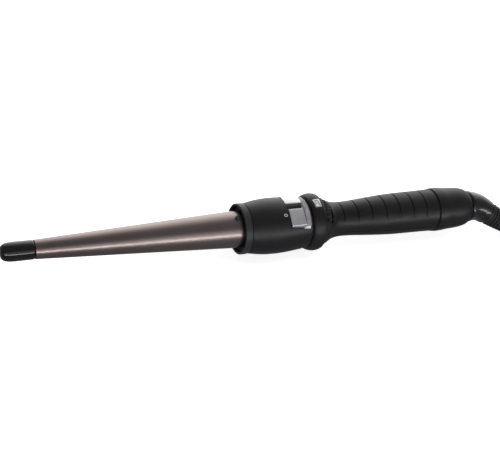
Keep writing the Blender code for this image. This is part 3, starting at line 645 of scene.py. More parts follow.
# %% The front housing
HOUSING_CROWN = [
    (145.7, 17.35), (148.5, 17.9), (151.5, 18.45), (155.5, 19.05), (160.5, 19.5), (167.0, 19.65),
    (173.0, 19.45), (179.0, 18.95), (185.0, 18.35), (189.6, 17.85),
]
SWITCH_FRONT = 171.8
SWITCH_REAR = 188.9
SWITCH_HALF_WIDTH = 13.8


def crown_radius(station, line):
    """The radius of a smooth outline at a station."""
    for (first, small), (last, large) in zip(line, line[1:]):
        if first <= station <= last:
            return small + (large - small) * (station - first) / (last - first)
    return line[-1][1]


housing_profile = (
    [(145.2, 16.8), (145.2, 17.05)] + flowing(HOUSING_CROWN, 4)
    + eased([(190.3, 17.5, 0), (190.3, 16.2, 0), (181.0, 16.5, 0), (175.0, 17.2, 0),
             (157.0, 17.2, 0), (153.4, 16.8, 0)]))
housing = as_object("housing_sleeve", turned_form(housing_profile, steps=160))
switch_cutter = as_object("switch_cutter", block_form(
    at_wand(SWITCH_FRONT, -SWITCH_HALF_WIDTH, 10), at_wand(SWITCH_REAR, SWITCH_HALF_WIDTH, 26)))
soften(switch_cutter, 0.7)
carve(housing, switch_cutter)
fitted(housing, SOFT_BLACK, "wand", "soft_black", "front_housing")

# %% [markdown]
# ## Marks
# Generic marks are text pressed a little proud of the surface: a nought beside the rocker
# and the heat numbers on the dial's drum. A flat text lies in its own plane, so each is
# made a mesh and every point is then wrapped onto its round surface.

# %% Wrapped marks


def wrapped_mark(name, words, size, station, angle, radius, centre_height=0.0, widen=1.0):
    """Generic text wrapped round an axis along X, its letters standing along the axis."""
    text = bpy.data.curves.new(name, "FONT")
    text.body = words
    text.align_x = "CENTER"
    text.align_y = "CENTER"
    text.size = size
    text.extrude = 0.05
    text.resolution_u = 6
    flat = in_scene(name, text)
    mesh = shown_mesh(flat)
    bpy.data.objects.remove(flat)
    form = bmesh.new()
    form.from_mesh(mesh)
    bmesh.ops.remove_doubles(form, verts=form.verts, dist=0.0001)
    for corner in form.verts:
        turn = angle - corner.co.x * widen / radius
        out = radius + corner.co.z
        corner.co = at_wand(station - corner.co.y, -out * math.sin(turn),
                            centre_height + out * math.cos(turn))
    bmesh.ops.recalc_face_normals(form, faces=form.faces)
    return as_object(name, form)


PROUD = 0.03
MARK_STATION = 169.6
MARK_SIZE = 3.7
MARK_ANGLE = math.radians(17)
mark_radius = crown_radius(MARK_STATION, HOUSING_CROWN) + PROUD
nought = wrapped_mark("nought_mark", "0", MARK_SIZE, MARK_STATION, MARK_ANGLE, mark_radius, widen=1.25)
fitted(nought, PRINT_GREY, "wand", "satin_silver")

# %% [markdown]
# ## Switch
# The rocker is one broad paddle that tilts about a pin along the wand. Seen from its end it
# has a raised far plate, a valley for the fingertip, and a flatter near plate whose end is
# thick and square. That end view is an outline of eased corners pulled along the wand and
# turned to its rest tilt, with its edges softened. A thin black sheet lines the valley as
# painted shade. Both ride on the rocker's own body, because they move.

# %% The rocker
ROCKER_FRONT = 172.3
ROCKER_REAR = 184.5
PIVOT_HEIGHT = 11.5
ROCKER_TILT = math.radians(5)
NEAR_PLATE_FRONT = 173.5
rocker_outline = eased([
    (4.7, 7.05, 1.3), (8.0, 5.85, 2.2), (11.6, 3.9, 1.0), (12.9, 2.9, 0.6), (13.0, 1.9, 0.4),
    (12.6, 1.35, 0.2), (3.4, 3.5, 0), (-3.4, 3.5, 0), (-12.6, 1.35, 0.2), (-13.0, 2.0, 0.4),
    (-12.0, 4.35, 0.5), (-6.0, 5.9, 3.0), (-0.2, 6.65, 0.5), (0.5, 6.2, 0.2), (0.9, 5.5, 0.3),
    (2.7, 5.55, 0.5), (3.6, 6.75, 0.6)])
rocker_form = pulled_form(rocker_outline, (ROCKER_FRONT, ROCKER_REAR))
tilt = Matrix.Rotation(ROCKER_TILT, 4, "X")
to_pivot = Matrix.Translation(at_wand(0, 0, PIVOT_HEIGHT)) @ tilt @ Matrix.Translation(-at_wand(0))
rocker = as_object("rocker_cap", rocker_form, sharp=math.radians(30))
step = as_object("step", pulled_form(
    [(0.65, 9.0), (0.65, 0.0), (-15.0, 0.0), (-15.0, 9.0)], (171.0, NEAR_PLATE_FRONT)))
carve(rocker, step)
rocker.data.transform(to_pivot)
soften(rocker, 0.3, segments=3, angle=math.radians(50))
hub = as_object("hub", pulled_form(
    [(-2.8, 5.2), (2.8, 5.2), (2.4, 0), (1.3, -1.7), (-1.3, -1.7), (-2.4, 0)], (173.7, 183.1)))
hub.data.transform(to_pivot)
bore = as_object("bore", turned_form(
    [(170, 0.0), (170, 1.1), (187, 1.1), (187, 0.0)], steps=32, height=PIVOT_HEIGHT))
carve(rocker, hub, how="UNION")
carve(rocker, bore)
fitted(rocker, SATIN_SILVER, "rocker", "satin_silver", "rocker_paddle")
# A thin black sheet in the valley: painted shade, deeper than the valley's own shading.
valley_shade_liner = as_object("rocker_valley_painted_shade", pulled_form(eased([
    (4.15, 7.13, 0.3), (3.7, 6.9, 0.6), (2.75, 5.72, 0.5), (0.95, 5.66, 0.3), (0.62, 6.25, 0.1),
    (0.45, 6.1, 0), (0.75, 5.3, 0), (2.9, 5.3, 0), (3.8, 6.5, 0)]),
    (ROCKER_FRONT + 0.05, ROCKER_REAR - 0.05)))
valley_shade_liner.data.transform(to_pivot)
fitted(valley_shade_liner, SOFT_BLACK, "rocker", "soft_black")

# %% [markdown]
# Behind the rocker a clear strip follows the housing's curve and shows the lamp under it.
# It is a piece of a ring: two arcs and their ends, pulled along the wand and softened.

# %% The indicator's lens


def ring_sector(inner, outer, half_angle, count):
    """The outline of a piece of a ring about the wand's axis."""
    angles = [half_angle * (2 * index / count - 1) for index in range(count + 1)]
    out = [(-outer * math.sin(angle), outer * math.cos(angle)) for angle in angles]
    back = [(-inner * math.sin(angle), inner * math.cos(angle)) for angle in reversed(angles)]
    return out + back


LENS_REACH = math.radians(44)
lens = as_object("lens_strip", pulled_form(ring_sector(16.9, 18.55, LENS_REACH, 48), (184.9, 188.6)))
soften(lens, 0.3, segments=3, angle=math.radians(60))
fitted(lens, LENS_CLEAR, "wand", "clear", "indicator_lens")

# %% [markdown]
# ## Window ring and dial
# The widest ring carries a chrome-framed window. Under it turns the dial's drum, a pale
# band with the heat numbers that glows a little as painted light, and behind it the ribbed
# rim that a thumb turns. The ring's bulge is one smooth line, and the frame and window
# follow the same line so that they sit flush in it.

# %% The window ring
RING_BULGE = [
    (190.9, 18.45), (191.6, 19.15), (192.6, 19.65), (194.2, 20.15), (196.3, 20.4), (198.4, 20.2),
    (199.8, 19.8), (200.45, 19.3),
]
WINDOW_FRONT = 193.1
WINDOW_REAR = 197.9
WINDOW_NEAR = -2.6
WINDOW_FAR = 4.6
FRAME_BORDER = 0.8
GAP = 0.3
bulge = flowing(RING_BULGE, 4)
ring_profile = [
    (190.7, 16.6), (190.7, 18.2), *bulge, (200.5, 19.1), (200.5, 18.1), (192.4, 18.1), (192.4, 16.6)]
ring = as_object("window_ring_skin", turned_form(ring_profile, steps=160))
ring_cutter = as_object("ring_cutter", block_form(
    at_wand(WINDOW_FRONT - GAP / 2, WINDOW_NEAR - GAP / 2, 15),
    at_wand(WINDOW_REAR + GAP / 2, WINDOW_FAR + GAP / 2, 26)))
soften(ring_cutter, 0.5)
carve(ring, ring_cutter)
fitted(ring, SOFT_BLACK, "wand", "soft_black", "window_ring")


# %% The window and its frame
def bulge_piece(name, rise, depth, border):
    """A rectangle of a ring that follows the window ring's bulge."""
    outer = [(station, radius + rise) for station, radius in bulge]
    inner = [(station, radius - depth) for station, radius in reversed(bulge)]
    made = as_object(name, turned_form(outer + inner, steps=240))
    keep = as_object("keep", block_form(
        at_wand(WINDOW_FRONT + border, WINDOW_NEAR + border, 12),
        at_wand(WINDOW_REAR - border, WINDOW_FAR - border, 26)))
    soften(keep, 0.5 if border == 0 else 0.3)
    return carve(made, keep, how="INTERSECT")


window_frame = bulge_piece("window_bezel", 0.18, 1.6, 0.0)
frame_cutter = as_object("frame_cutter", block_form(
    at_wand(WINDOW_FRONT + FRAME_BORDER, WINDOW_NEAR + FRAME_BORDER, 10),
    at_wand(WINDOW_REAR - FRAME_BORDER, WINDOW_FAR - FRAME_BORDER, 27)))
soften(frame_cutter, 0.35)
carve(window_frame, frame_cutter)
soften(window_frame, 0.16, segments=2, angle=math.radians(60))
fitted(window_frame, CHROME, "wand", "chrome_trim", "window_frame")
window = bulge_piece("window_pane", -0.1, 0.9, FRAME_BORDER + 0.12)
fitted(window, WINDOW_CLEAR, "wand", "clear", "dial_window")

# %% The dial's drum and its numbers
DIAL_HEIGHT = 5.2
DRUM_RADIUS = 11.9
drum_profile = eased([
    (192.8, 10.6, 0), (192.8, DRUM_RADIUS, 0.3), (199.9, DRUM_RADIUS, 0), (199.9, 3.6, 0),
    (199.4, 3.6, 0), (199.4, 10.6, 0)])
drum = as_object("dial_drum", turned_form(drum_profile, steps=128, height=DIAL_HEIGHT))
# The drum's finish glows a little as painted light.
fitted(drum, DRUM_GREY_PAINTED_GLOW, "dial", "satin_silver")
SETTINGS = 11
COOLEST = 100
SETTING_STEP = 10
SETTING_ANGLE = math.radians(30)
WINDOW_TURN = math.radians(7)
numbers = []
for setting in range(SETTINGS):
    angle = -(setting - SETTINGS // 2) * SETTING_ANGLE - WINDOW_TURN
    numbers.append(wrapped_mark(
        f"heat_number_{setting}", str(COOLEST + setting * SETTING_STEP), 2.3, 196.0, angle,
        DRUM_RADIUS + PROUD, DIAL_HEIGHT))
band = bmesh.new()
for number in numbers:
    band.from_mesh(number.data)
    bpy.data.objects.remove(number)
fitted(as_object("heat_numbers", band), PRINT_DARK, "dial", "soft_black")

# %% [markdown]
# The thumbwheel's rim has thirty rounded ribs. They are the same rib round a circle, so a
# Geometry Nodes tree makes them: a mesh circle gives the places, a stretched sphere is the
# rib, and each instance is turned by its share of a full turn. The tree's sizes are named
# inputs, and the result is realized, because instances would be lost later on.

# %% Helpers for node trees


def new_tree(name, inputs):
    """A Geometry Nodes tree with named inputs, and functions to read, build and end it."""
    tree = bpy.data.node_groups.new(name, "GeometryNodeTree")
    tree.interface.new_socket("Geometry", in_out="INPUT", socket_type="NodeSocketGeometry")
    for label, kind in inputs:
        tree.interface.new_socket(label, in_out="INPUT", socket_type=kind)
    tree.interface.new_socket("Geometry", in_out="OUTPUT", socket_type="NodeSocketGeometry")
    source = tree.nodes.new("NodeGroupInput")
    result = tree.nodes.new("NodeGroupOutput")

    def node(kind, settings=None, **wires):
        """Add a node, set its properties, and wire or set its inputs by name."""
        made = tree.nodes.new(kind)
        for key, value in (settings or {}).items():
            setattr(made, key, value)
        for label, value in wires.items():
            number = label[1:].isdigit()
            socket = made.inputs[int(label[1:]) if number else label.replace("_", " ")]
            if isinstance(value, bpy.types.NodeSocket):
                tree.links.new(value, socket)
            else:
                socket.default_value = value
        return made

    def given(label):
        """The socket of a named input."""
        return source.outputs[label]

    def end(instances):
        """Make instances real, smooth and painted, and hand them over."""
        real = node("GeometryNodeRealizeInstances", Geometry=instances)
        smooth = node("GeometryNodeSetShadeSmooth", Geometry=real.outputs["Geometry"])
        painted = node("GeometryNodeSetMaterial", Geometry=smooth.outputs["Geometry"],
                       Material=given("Finish"))
        tree.links.new(painted.outputs["Geometry"], result.inputs["Geometry"])

    return tree, given, node, end


def grown(name, tree, values, data=None):
    """An object whose mesh is what a tree makes, with the modifier applied and removed."""
    host = in_scene(name, data or bpy.data.meshes.new(name))
    growth = host.modifiers.new("growth", "NODES")
    growth.node_group = tree
    for socket in tree.interface.items_tree:
        if socket.in_out == "INPUT" and socket.name in values:
            growth[socket.identifier] = values[socket.name]
    mesh = shown_mesh(host)
    bpy.data.objects.remove(host)
    return in_scene(name, mesh)


# %% The ribs round a wheel
ribs_tree, given, node, end = new_tree("wheel_ribs", [
    ("Count", "NodeSocketInt"), ("Circle Radius", "NodeSocketFloat"),
    ("Rib Radius", "NodeSocketFloat"), ("Half Length", "NodeSocketFloat"),
    ("Centre", "NodeSocketVector"), ("Finish", "NodeSocketMaterial")])
places = node("GeometryNodeMeshCircle", Vertices=given("Count"), Radius=given("Circle Radius"))
rib = node("GeometryNodeMeshUVSphere", Segments=14, Rings=10, Radius=1.0)
rib_size = node("ShaderNodeCombineXYZ", X=given("Rib Radius"), Y=given("Rib Radius"),
                Z=given("Half Length"))
shaped = node("GeometryNodeTransform", Geometry=rib.outputs["Mesh"], Scale=rib_size.outputs["Vector"])
order = node("GeometryNodeInputIndex")
step_angle = node("ShaderNodeMath", {"operation": "DIVIDE"}, _0=math.tau, _1=given("Count"))
turn_by = node("ShaderNodeMath", {"operation": "MULTIPLY"}, _0=order.outputs["Index"],
               _1=step_angle.outputs["Value"])
turning = node("ShaderNodeCombineXYZ", Z=turn_by.outputs["Value"])
copies = node("GeometryNodeInstanceOnPoints", Points=places.outputs["Mesh"],
              Instance=shaped.outputs["Geometry"], Rotation=turning.outputs["Vector"])
placed = node("GeometryNodeTransform", Geometry=copies.outputs["Instances"],
              Translation=given("Centre"), Rotation=(0, math.radians(90), 0))
end(placed.outputs["Geometry"])

# %% The thumbwheel
WHEEL_RADIUS = 12.2
WHEEL_FRONT = 202.2
WHEEL_REAR = 206.3
RIM_FRONT = 199.95
SKIRT_REAR = 207.45
RIBS = 30
RIB_RADIUS = 1.0
RIB_HALF_LENGTH = 2.05
rim_profile = eased([
    (RIM_FRONT, 10.4, 0), (RIM_FRONT, WHEEL_RADIUS - 0.75, 0.5), (WHEEL_REAR, WHEEL_RADIUS - 0.75, 0.5),
    (WHEEL_REAR, 7.0, 0), (SKIRT_REAR, 7.0, 0.1), (SKIRT_REAR, 6.3, 0), (WHEEL_REAR, 6.3, 0),
    (WHEEL_REAR, 1.8, 0), (RIM_FRONT, 1.8, 0), (RIM_FRONT, 3.4, 0)])
rim = as_object("thumbwheel_rim", turned_form(rim_profile, steps=128, height=DIAL_HEIGHT))
fitted(rim, WHEEL_BLACK, "dial", "soft_black", "dial_wheel")
wheel_middle = (WHEEL_FRONT + WHEEL_REAR) / 2 - 0.1
wheel_ribs = grown("thumbwheel_ribs", ribs_tree, {
    "Count": RIBS, "Circle Radius": (WHEEL_RADIUS - RIB_RADIUS) * MM, "Rib Radius": RIB_RADIUS * MM,
    "Half Length": RIB_HALF_LENGTH * MM,
    "Centre": at_wand(wheel_middle, 0, DIAL_HEIGHT), "Finish": WHEEL_BLACK})
fitted(wheel_ribs, WHEEL_BLACK, "dial", "soft_black")

# %% [markdown]
# ## Handle
# Two half shells meet at the wand's middle plane. They start as a wide flare behind the
# ring, narrow to a neck, widen towards a band and end in a rounded tail. Seven grooves are
# pressed into the top and the bottom, deepest in the middle and running out at the sides,
# and one groove goes all the way round in front of the band. All of that is a rule: the
# radius at a station, less a groove's depth, less a small rounding at the parting line. So
# the surface is a grid of points from that rule, which stays smooth where a cut would not.

# %% The handle's rule
HANDLE_LINE = [
    (200.9, 17.8), (203.0, 17.2), (205.0, 16.35), (207.0, 15.15), (209.0, 14.15), (211.3, 13.3),
    (214.5, 12.7), (219.0, 12.35), (223.0, 12.4), (229.0, 12.7), (236.0, 13.3), (244.0, 13.9),
    (252.0, 14.45), (260.0, 14.9), (268.0, 15.1), (278.0, 15.2), (288.0, 15.35), (295.3, 15.55),
]
BAND_LINE = [
    (296.7, 15.95), (300.0, 16.15), (304.0, 16.0), (307.6, 15.6), (312.0, 15.35), (318.0, 15.0),
    (323.0, 14.2), (326.0, 13.0), (327.6, 11.7), (328.2, 10.8),
]
SEAM_LINE = [(295.6, 14.95), (295.8, 14.75), (296.2, 14.75), (296.4, 14.95)]
INNER_LINE = [
    (328.2, 7.5), (324.4, 7.5), (324.4, 12.3), (321.0, 12.9), (300.0, 13.2), (268.0, 13.0),
    (252.0, 12.3), (236.0, 11.2), (223.0, 10.4), (214.5, 10.7), (209.0, 12.3), (206.5, 13.2),
    (203.0, 15.3), (200.9, 15.8),
]
FIRST_GROOVE = 218.0
GROOVE_STEP = 11.15
GROOVES = [FIRST_GROOVE + GROOVE_STEP * index for index in range(7)]
GROOVE_SHARES = (-1, -0.6, -0.3, 0, 0.3, 0.6, 1)
GROOVE_HALF_WIDTH = 0.48
GROOVE_DEPTH = 0.75
GROOVE_REACH = math.radians(62)
HALF_GAP = 0.15
PARTING_ROUND = 0.22
PARTING_REACH = math.radians(2.2)
SHELL_COLUMNS = 72


def to_groove(station):
    """How far a station is from its nearest groove."""
    return min(abs(station - groove) for groove in GROOVES)


def groove_depth(station, angle):
    """How deep the grooves are at a station and an angle from the shell's middle."""
    fade = easing((GROOVE_REACH - abs(angle)) / GROOVE_REACH * 1.6)
    return GROOVE_DEPTH * fade * easing(1 - to_groove(station) / GROOVE_HALF_WIDTH)


def handle_stations():
    """Stations that follow the outline, with extra ones at each groove."""
    line = [tuple(point) for point in flowing(HANDLE_LINE, 4)]
    extra = [groove + GROOVE_HALF_WIDTH * share for groove in GROOVES for share in GROOVE_SHARES]
    kept = [point for point in line if to_groove(point[0]) > GROOVE_HALF_WIDTH * 1.2]
    return sorted(kept + [(station, crown_radius(station, line)) for station in extra])


def half_shell(name, side):
    """One half of the handle: a closed section for each angle, joined across the angles."""
    outer = handle_stations() + SEAM_LINE + flowing(BAND_LINE, 3)
    columns = []
    for index in range(SHELL_COLUMNS + 1):
        angle = math.pi * (index / SHELL_COLUMNS - 0.5)
        edge = PARTING_ROUND * easing(1 - (math.pi / 2 - abs(angle)) / PARTING_REACH)
        section = [(station, radius - groove_depth(station, angle) - edge) for station, radius in outer]
        section += INNER_LINE
        columns.append([
            at_wand(station, radius * math.sin(angle), side * max(radius * math.cos(angle), HALF_GAP))
            for station, radius in section])
    return as_object(name, joined_form(columns))


# %% The handle's shells
DIAL_OPENING = math.radians(42)
upper = half_shell("handle_upper_skin", 1)
OPENING_FRONT = 199.9
OPENING_REAR = 208.0
POCKET_REAR = 206.9
POCKET_RADIUS = WHEEL_RADIUS + 0.35
turns = [DIAL_OPENING * share / 8 for share in range(-8, 9)]
opening = [(0.0, 6.0)] + [(26 * math.sin(turn), 26 * math.cos(turn)) for turn in turns]
opening_cutter = as_object("opening_cutter", pulled_form(opening, (OPENING_FRONT, OPENING_REAR)))
soften(opening_cutter, 0.9, segments=4, angle=math.radians(60))
pocket_cutter = as_object("pocket_cutter", turned_form([
    (OPENING_FRONT, 0.0), (OPENING_FRONT, POCKET_RADIUS), (POCKET_REAR, POCKET_RADIUS),
    (POCKET_REAR, 0.0)], steps=96, height=DIAL_HEIGHT))
carve(upper, opening_cutter, pocket_cutter)
fitted(upper, HANDLE_BLACK, "wand", "soft_black", "handle_upper_shell")
lower = half_shell("handle_lower_skin", -1)
SCREWS = (236.0, 268.0, 302.0)
RECESS_RADIUS = 2.3
recesses = bmesh.new()
for station in SCREWS:
    add_rod(recesses, at_wand(station, 0, -13.0), RECESS_RADIUS, 14)
carve(lower, as_object("recess_cutter", recesses))
fitted(lower, HANDLE_BLACK, "wand", "soft_black", "handle_lower_shell")

# %% [markdown]
# ## Swivel elbow
# The cord turns freely in the handle's tail: a gloss elbow sits in the tail on a journal
# with two slip rings and bends off to the side. It is a bar swept along a short bent path
# whose radius first steps down for the tail's lip, then swells and tapers to the relief.

# %% The elbow
ELBOW_START = 330.0
ELBOW_RADIUS = 11.7
ELBOW_TAPER = 2.2
ELBOW_BEND = 25.0
ELBOW_ANGLE = math.radians(32)
ELBOW_STRAIGHT = 4.5
CORD_DROP = math.radians(35)
SIDE_WAY = Vector((0, -math.cos(CORD_DROP), -math.sin(CORD_DROP)))
JOURNAL = [
    (310.4, 9.6), (312.6, 9.6), (312.65, 6.9), (328.5, 6.9), (328.55, 10.2), (328.9, 10.9),
    (329.4, 11.3), (ELBOW_START, ELBOW_RADIUS),
]
elbow_path = [at_wand(station) for station, radius in JOURNAL]
elbow_radii = [radius for station, radius in JOURNAL]
ELBOW_POINTS = 24
for index in range(1, ELBOW_POINTS + 1):
    share = index / ELBOW_POINTS
    bend = ELBOW_ANGLE * share
    aside = SIDE_WAY * ELBOW_BEND * (1 - math.cos(bend))
    elbow_path.append(at_wand(ELBOW_START + ELBOW_BEND * math.sin(bend), aside.y, aside.z))
    elbow_radii.append(ELBOW_RADIUS - ELBOW_TAPER * share)
elbow_way = Vector((math.cos(ELBOW_ANGLE), 0, 0)) + SIDE_WAY * math.sin(ELBOW_ANGLE)
elbow_last = elbow_path[-1]
for short_of_end, radius in ((0.8, 9.25), (0.3, 9.0), (0.0, 8.5)):
    elbow_path.append(elbow_last + elbow_way * (ELBOW_STRAIGHT - short_of_end) * MM)
    elbow_radii.append(radius)
elbow = as_object("elbow_shell", swept_form(elbow_path, elbow_radii, 72), sharp=math.radians(50))
fitted(elbow, ELBOW_BLACK, "cord_set", "elbow_black", "swivel_elbow")

# %% [markdown]
# ## Strain relief
# A ribbed rubber sleeve stops the cord from kinking at the elbow. Its core is a tapered
# bar, and its ribs are one ring repeated along the same line and scaled with the taper.
# That is again a rule for Geometry Nodes: the line is resampled, a ring is put on every
# point, square to the line, and sized by the line's own radius.

# %% The ribs along a line
ring_tree, given, node, end = new_tree("line_rings", [
    ("Count", "NodeSocketInt"), ("Thickness", "NodeSocketFloat"), ("Finish", "NodeSocketMaterial")])
spaced = node("GeometryNodeResampleCurve", Curve=given("Geometry"), Count=given("Count"))
big_radius = node("ShaderNodeMath", {"operation": "SUBTRACT"}, _0=1.0, _1=given("Thickness"))
big = node("GeometryNodeCurvePrimitiveCircle", Resolution=56, Radius=big_radius.outputs["Value"])
small = node("GeometryNodeCurvePrimitiveCircle", Resolution=12, Radius=given("Thickness"))
rib_ring = node("GeometryNodeCurveToMesh", Curve=big.outputs["Curve"],
                Profile_Curve=small.outputs["Curve"])
tangent = node("GeometryNodeInputTangent")
facing = node("FunctionNodeAlignRotationToVector", {"axis": "Z"}, Vector=tangent.outputs["Tangent"])
size = node("GeometryNodeInputRadius").outputs["Radius"]
size_all = node("ShaderNodeCombineXYZ", X=size, Y=size, Z=size)
rings = node("GeometryNodeInstanceOnPoints", Points=spaced.outputs["Curve"],
             Instance=rib_ring.outputs["Mesh"], Rotation=facing.outputs["Rotation"],
             Scale=size_all.outputs["Vector"])
end(rings.outputs["Instances"])

# %% The strain relief
RELIEF_FRONT_RADIUS = 8.9
RELIEF_REAR_RADIUS = 4.6
RELIEF_RIB_DEPTH = 1.25
RELIEF_RIBS = 17
RELIEF_RIB_THICKNESS = 0.10
relief_line = flowing([at_table(*point) for point in RELIEF_POINTS], 6)
relief_way = (relief_line[1] - relief_line[0]).normalized()
core_path = [relief_line[0] + relief_way * 0.2 * MM] + relief_line[1:]


def relief_radius(share):
    """The relief's radius over its ribs, at a share of its length."""
    return RELIEF_FRONT_RADIUS + (RELIEF_REAR_RADIUS - RELIEF_FRONT_RADIUS) * share


relief_last = len(relief_line) - 1
core_radii = [relief_radius(index / relief_last) - RELIEF_RIB_DEPTH for index in range(len(core_path))]
core_radii[0] = RELIEF_FRONT_RADIUS - 0.6
core_radii[1] = RELIEF_FRONT_RADIUS - 0.55
core_radii[-1] -= 0.3
relief = as_object("relief_core", swept_form(core_path, core_radii, 56))
fitted(relief, CORD_RUBBER, "cord_set", "cord_rubber", "strain_relief")
spine = bpy.data.curves.new("relief_spine", "CURVE")
spine.dimensions = "3D"
spine_line = spine.splines.new("POLY")
RIBS_START = 2
spine_points = relief_line[RIBS_START:]
spine_line.points.add(len(spine_points) - 1)
for index, (point, place) in enumerate(zip(spine_line.points, spine_points)):
    point.co = (*place, 1)
    point.radius = relief_radius((index + RIBS_START) / relief_last) * MM
relief_ribs = grown("relief_ribs", ring_tree, {
    "Count": RELIEF_RIBS, "Thickness": RELIEF_RIB_THICKNESS, "Finish": CORD_RUBBER}, spine)
fitted(relief_ribs, CORD_RUBBER, "cord_set", "cord_rubber")

# %% [markdown]
# ## Tie
# A hook-and-loop strap goes once round the hank's waist. It is a rounded rectangle of
# strap whose end meets its start on top, an outline that is given a thickness by Solidify.

# %% The tie
TIE_FRONT = 500.4
TIE_REAR = 511.6
TIE_HALF_WIDTH = 19.0
TIE_LOW = 0.7
TIE_TOP = 30.8
TIE_THICKNESS = 1.0
tie_corners = [
    (0.0, TIE_TOP, 0), (-TIE_HALF_WIDTH, TIE_TOP, 5.0), (-TIE_HALF_WIDTH, TIE_LOW, 5.0),
    (TIE_HALF_WIDTH, TIE_LOW, 5.0), (TIE_HALF_WIDTH, TIE_TOP, 5.0), (0.0, TIE_TOP, 0)]
tie_section = eased(tie_corners, closed=False)[:-1]
tie_form = joined_form(
    [[at_table(station, *point) for point in tie_section] for station in (TIE_FRONT, TIE_REAR)],
    caps=False)
tie = as_object("tie_strap", tie_form, sharp=math.radians(60))
thickness = tie.modifiers.new("thickness", "SOLIDIFY")
thickness.thickness = TIE_THICKNESS * MM
thickness.offset = 0.0
settle(tie)
soften(tie, 0.25, segments=2, angle=math.radians(60))
fitted(tie, TIE_BLACK, "cord_set", "cord_rubber", "cord_tie")

# %% [markdown]
# ## Plug
# The plug is the flat two-pin kind of a double-insulated tool. Its body is an outline
# given a thickness and generous rounding, with grip ribs across its waist. The pins have
# black sleeves at their roots and rounded metal ends.

# %% The plug's body
PLUG_ENTRY = 498.0
PLUG_ACROSS = 12.0
PLUG_REAR = 486.0
PLUG_FRONT = 450.0
PLUG_BOTTOM = 31.8
PLUG_TOP = 45.6
plug_half = [
    (PLUG_ENTRY, 0.0, 0), (PLUG_ENTRY, 3.9, 0.8), (PLUG_REAR + 4, 4.8, 3.0), (PLUG_REAR, 6.5, 4.0),
    (PLUG_REAR - 8, 13.0, 5.0), (PLUG_REAR - 18, 17.6, 6.0), (PLUG_FRONT, 17.0, 1.6),
    (PLUG_FRONT, 0.0, 0),
]
plug_side = eased(plug_half, closed=False)
plug_outline = [(along, PLUG_ACROSS + out) for along, out in plug_side]
plug_outline += [(along, PLUG_ACROSS - out) for along, out in reversed(plug_side[1:-1])]
plug_form = joined_form(
    [[at_table(*point, height) for point in plug_outline] for height in (PLUG_BOTTOM, PLUG_TOP)])
plug = as_object("plug_moulding", plug_form, sharp=math.radians(55))
soften(plug, 2.6, segments=6, angle=math.radians(55))
fitted(plug, PLUG_RUBBER, "cord_set", "cord_rubber", "plug_body")

# %% The plug's pins
PLUG_MIDDLE = (PLUG_BOTTOM + PLUG_TOP) / 2
PIN_SPACING = 18.6
PIN_RADIUS = 2.0
PIN_END = 431.0
PIN_ROOT = 457.0
PIN_SLEEVE_END = 440.5
SLEEVE_RADIUS = PIN_RADIUS - 0.08


def pin_part(name, front, rear, radius, reach, side):
    """A round part of a pin between two stations, its front edge rounded."""
    corners = eased([(front, 0.0, 0), (front, radius, reach), (rear, radius, 0), (rear, 0.0, 0)])
    across = PLUG_ACROSS + side * PIN_SPACING / 2
    height = PLUG_MIDDLE - AXIS / MM
    return as_object(name, turned_form(corners, steps=40, across=across, height=height))


for label, side in (("live", 1), ("neutral", -1)):
    metal = pin_part(f"pin_{label}", PIN_END, PIN_SLEEVE_END, PIN_RADIUS, 1.2, side)
    fitted(metal, NICKEL, "cord_set", "brass", f"plug_pin_{label}")
    sleeve = pin_part(f"pin_sleeve_{label}", PIN_SLEEVE_END + 0.05, PIN_ROOT, SLEEVE_RADIUS, 0.2, side)
    fitted(sleeve, SLEEVE_BLACK, "cord_set", "cord_rubber")

# %% The plug's grip
bars_tree, given, node, end = new_tree("grip_bars", [
    ("Count", "NodeSocketInt"), ("Step", "NodeSocketVector"), ("Start", "NodeSocketVector"),
    ("Bar Size", "NodeSocketVector"), ("Finish", "NodeSocketMaterial")])
row = node("GeometryNodeMeshLine", Count=given("Count"), Start_Location=given("Start"),
           Offset=given("Step"))
bar = node("GeometryNodeMeshUVSphere", Segments=20, Rings=12, Radius=1.0)
bars = node("GeometryNodeInstanceOnPoints", Points=row.outputs["Mesh"], Instance=bar.outputs["Mesh"],
            Scale=given("Bar Size"))
end(bars.outputs["Instances"])
GRIP_BARS = 5
GRIP_STEP = 3.4
GRIP_BAR_SIZE = (0.9, 8.5, 0.35)
grip = grown("plug_grip", bars_tree, {
    "Count": GRIP_BARS, "Start": at_table(463.0, PLUG_ACROSS, PLUG_TOP - GRIP_BAR_SIZE[2]),
    "Step": Vector((GRIP_STEP * MM, 0, 0)),
    "Bar Size": Vector(GRIP_BAR_SIZE) * MM, "Finish": PLUG_RUBBER})
fitted(grip, PLUG_RUBBER, "cord_set", "cord_rubber")
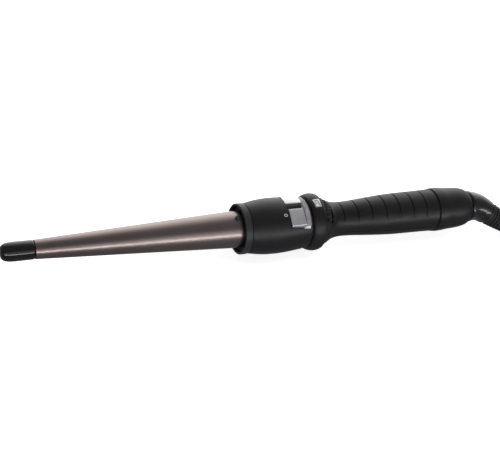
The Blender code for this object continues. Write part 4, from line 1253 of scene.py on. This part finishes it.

# %% [markdown]

# %% [markdown]
# ## Floor and light
# A plain pale floor runs out of view on all sides. The light is a soft dome that is bright
# behind the wand and dim on the camera's side, which gives the cone its pale upper edge and
# dark middle. A low narrow strip on the near side draws the thin bright line along the
# barrel, and a broad, weaker one above it spreads that line out. The lamp overhead lights
# the matt colours only: it is hidden from reflections, and so is the floor, or both would
# show on the black parts.

# %% The floor
FLOOR_HALF = 6.0
FLOOR_GAP = 0.0004
floor_form = bmesh.new()
bmesh.ops.create_grid(floor_form, x_segments=1, y_segments=1, size=FLOOR_HALF,
                      matrix=Matrix.Translation((0, 0, cad_low[2] - FLOOR_GAP)))
floor = as_object("floor", floor_form)
floor.data.materials.append(surface(
    "pale_floor", (0.85, 0.85, 0.85), 0.85, drift=0.01, cloud=3.0, grain=600.0, depth=0.01,
    strength=0.1, Emission_Color=(1, 1, 1, 1), Emission_Strength=0.75))
floor.visible_glossy = False

# %% The dome
world = bpy.data.worlds.new("dome")
bpy.context.scene.world = world
world.use_nodes = True
dome_nodes = world.node_tree.nodes
dome_links = world.node_tree.links
backdrop = dome_nodes["Background"]
direction = dome_nodes.new("ShaderNodeTexCoord")
toward = dome_nodes.new("ShaderNodeVectorMath")
toward.operation = "DOT_PRODUCT"
toward.inputs[1].default_value = (0.42, 0.91, 0.0)
dome_links.new(direction.outputs["Generated"], toward.inputs[0])
shades = dome_nodes.new("ShaderNodeValToRGB")
shades.color_ramp.elements[0].position = 0.0
shades.color_ramp.elements[0].color = (0.14, 0.14, 0.15, 1)
shades.color_ramp.elements[1].position = 1.0
shades.color_ramp.elements[1].color = (1.7, 1.7, 1.7, 1)
for place, tone in ((0.5, 0.20), (0.8, 0.80), (0.93, 1.35)):
    shades.color_ramp.elements.new(place).color = (tone, tone, tone, 1)
dome_links.new(toward.outputs["Value"], shades.inputs["Fac"])
dome_links.new(shades.outputs["Color"], backdrop.inputs["Color"])
backdrop.inputs["Strength"].default_value = 1.0


# %% The lamps
def soft_lamp(name, place, aim, size, watts):
    """A rectangular area lamp that looks at a point."""
    data = bpy.data.lights.new(name, "AREA")
    data.shape = "RECTANGLE"
    data.size, data.size_y = size
    data.energy = watts
    lamp = in_scene(name, data)
    lamp.location = place
    lamp.rotation_euler = (Vector(aim) - Vector(place)).to_track_quat("-Z", "Y").to_euler()
    return lamp


soft_lamp("near_strip", (0.0, -1.24, 0.38), (0, 0, 0.02), (3.2, 0.14), 8.5)
soft_lamp("near_glow", (0.0, -1.15, 0.80), (0, 0, 0.02), (3.2, 0.60), 2.6)
overhead = soft_lamp("overhead", (0.1, 0.3, 1.6), (0, 0, 0), (1.8, 1.4), 22)
overhead.visible_glossy = False
bpy.context.scene.view_settings.view_transform = "Standard"
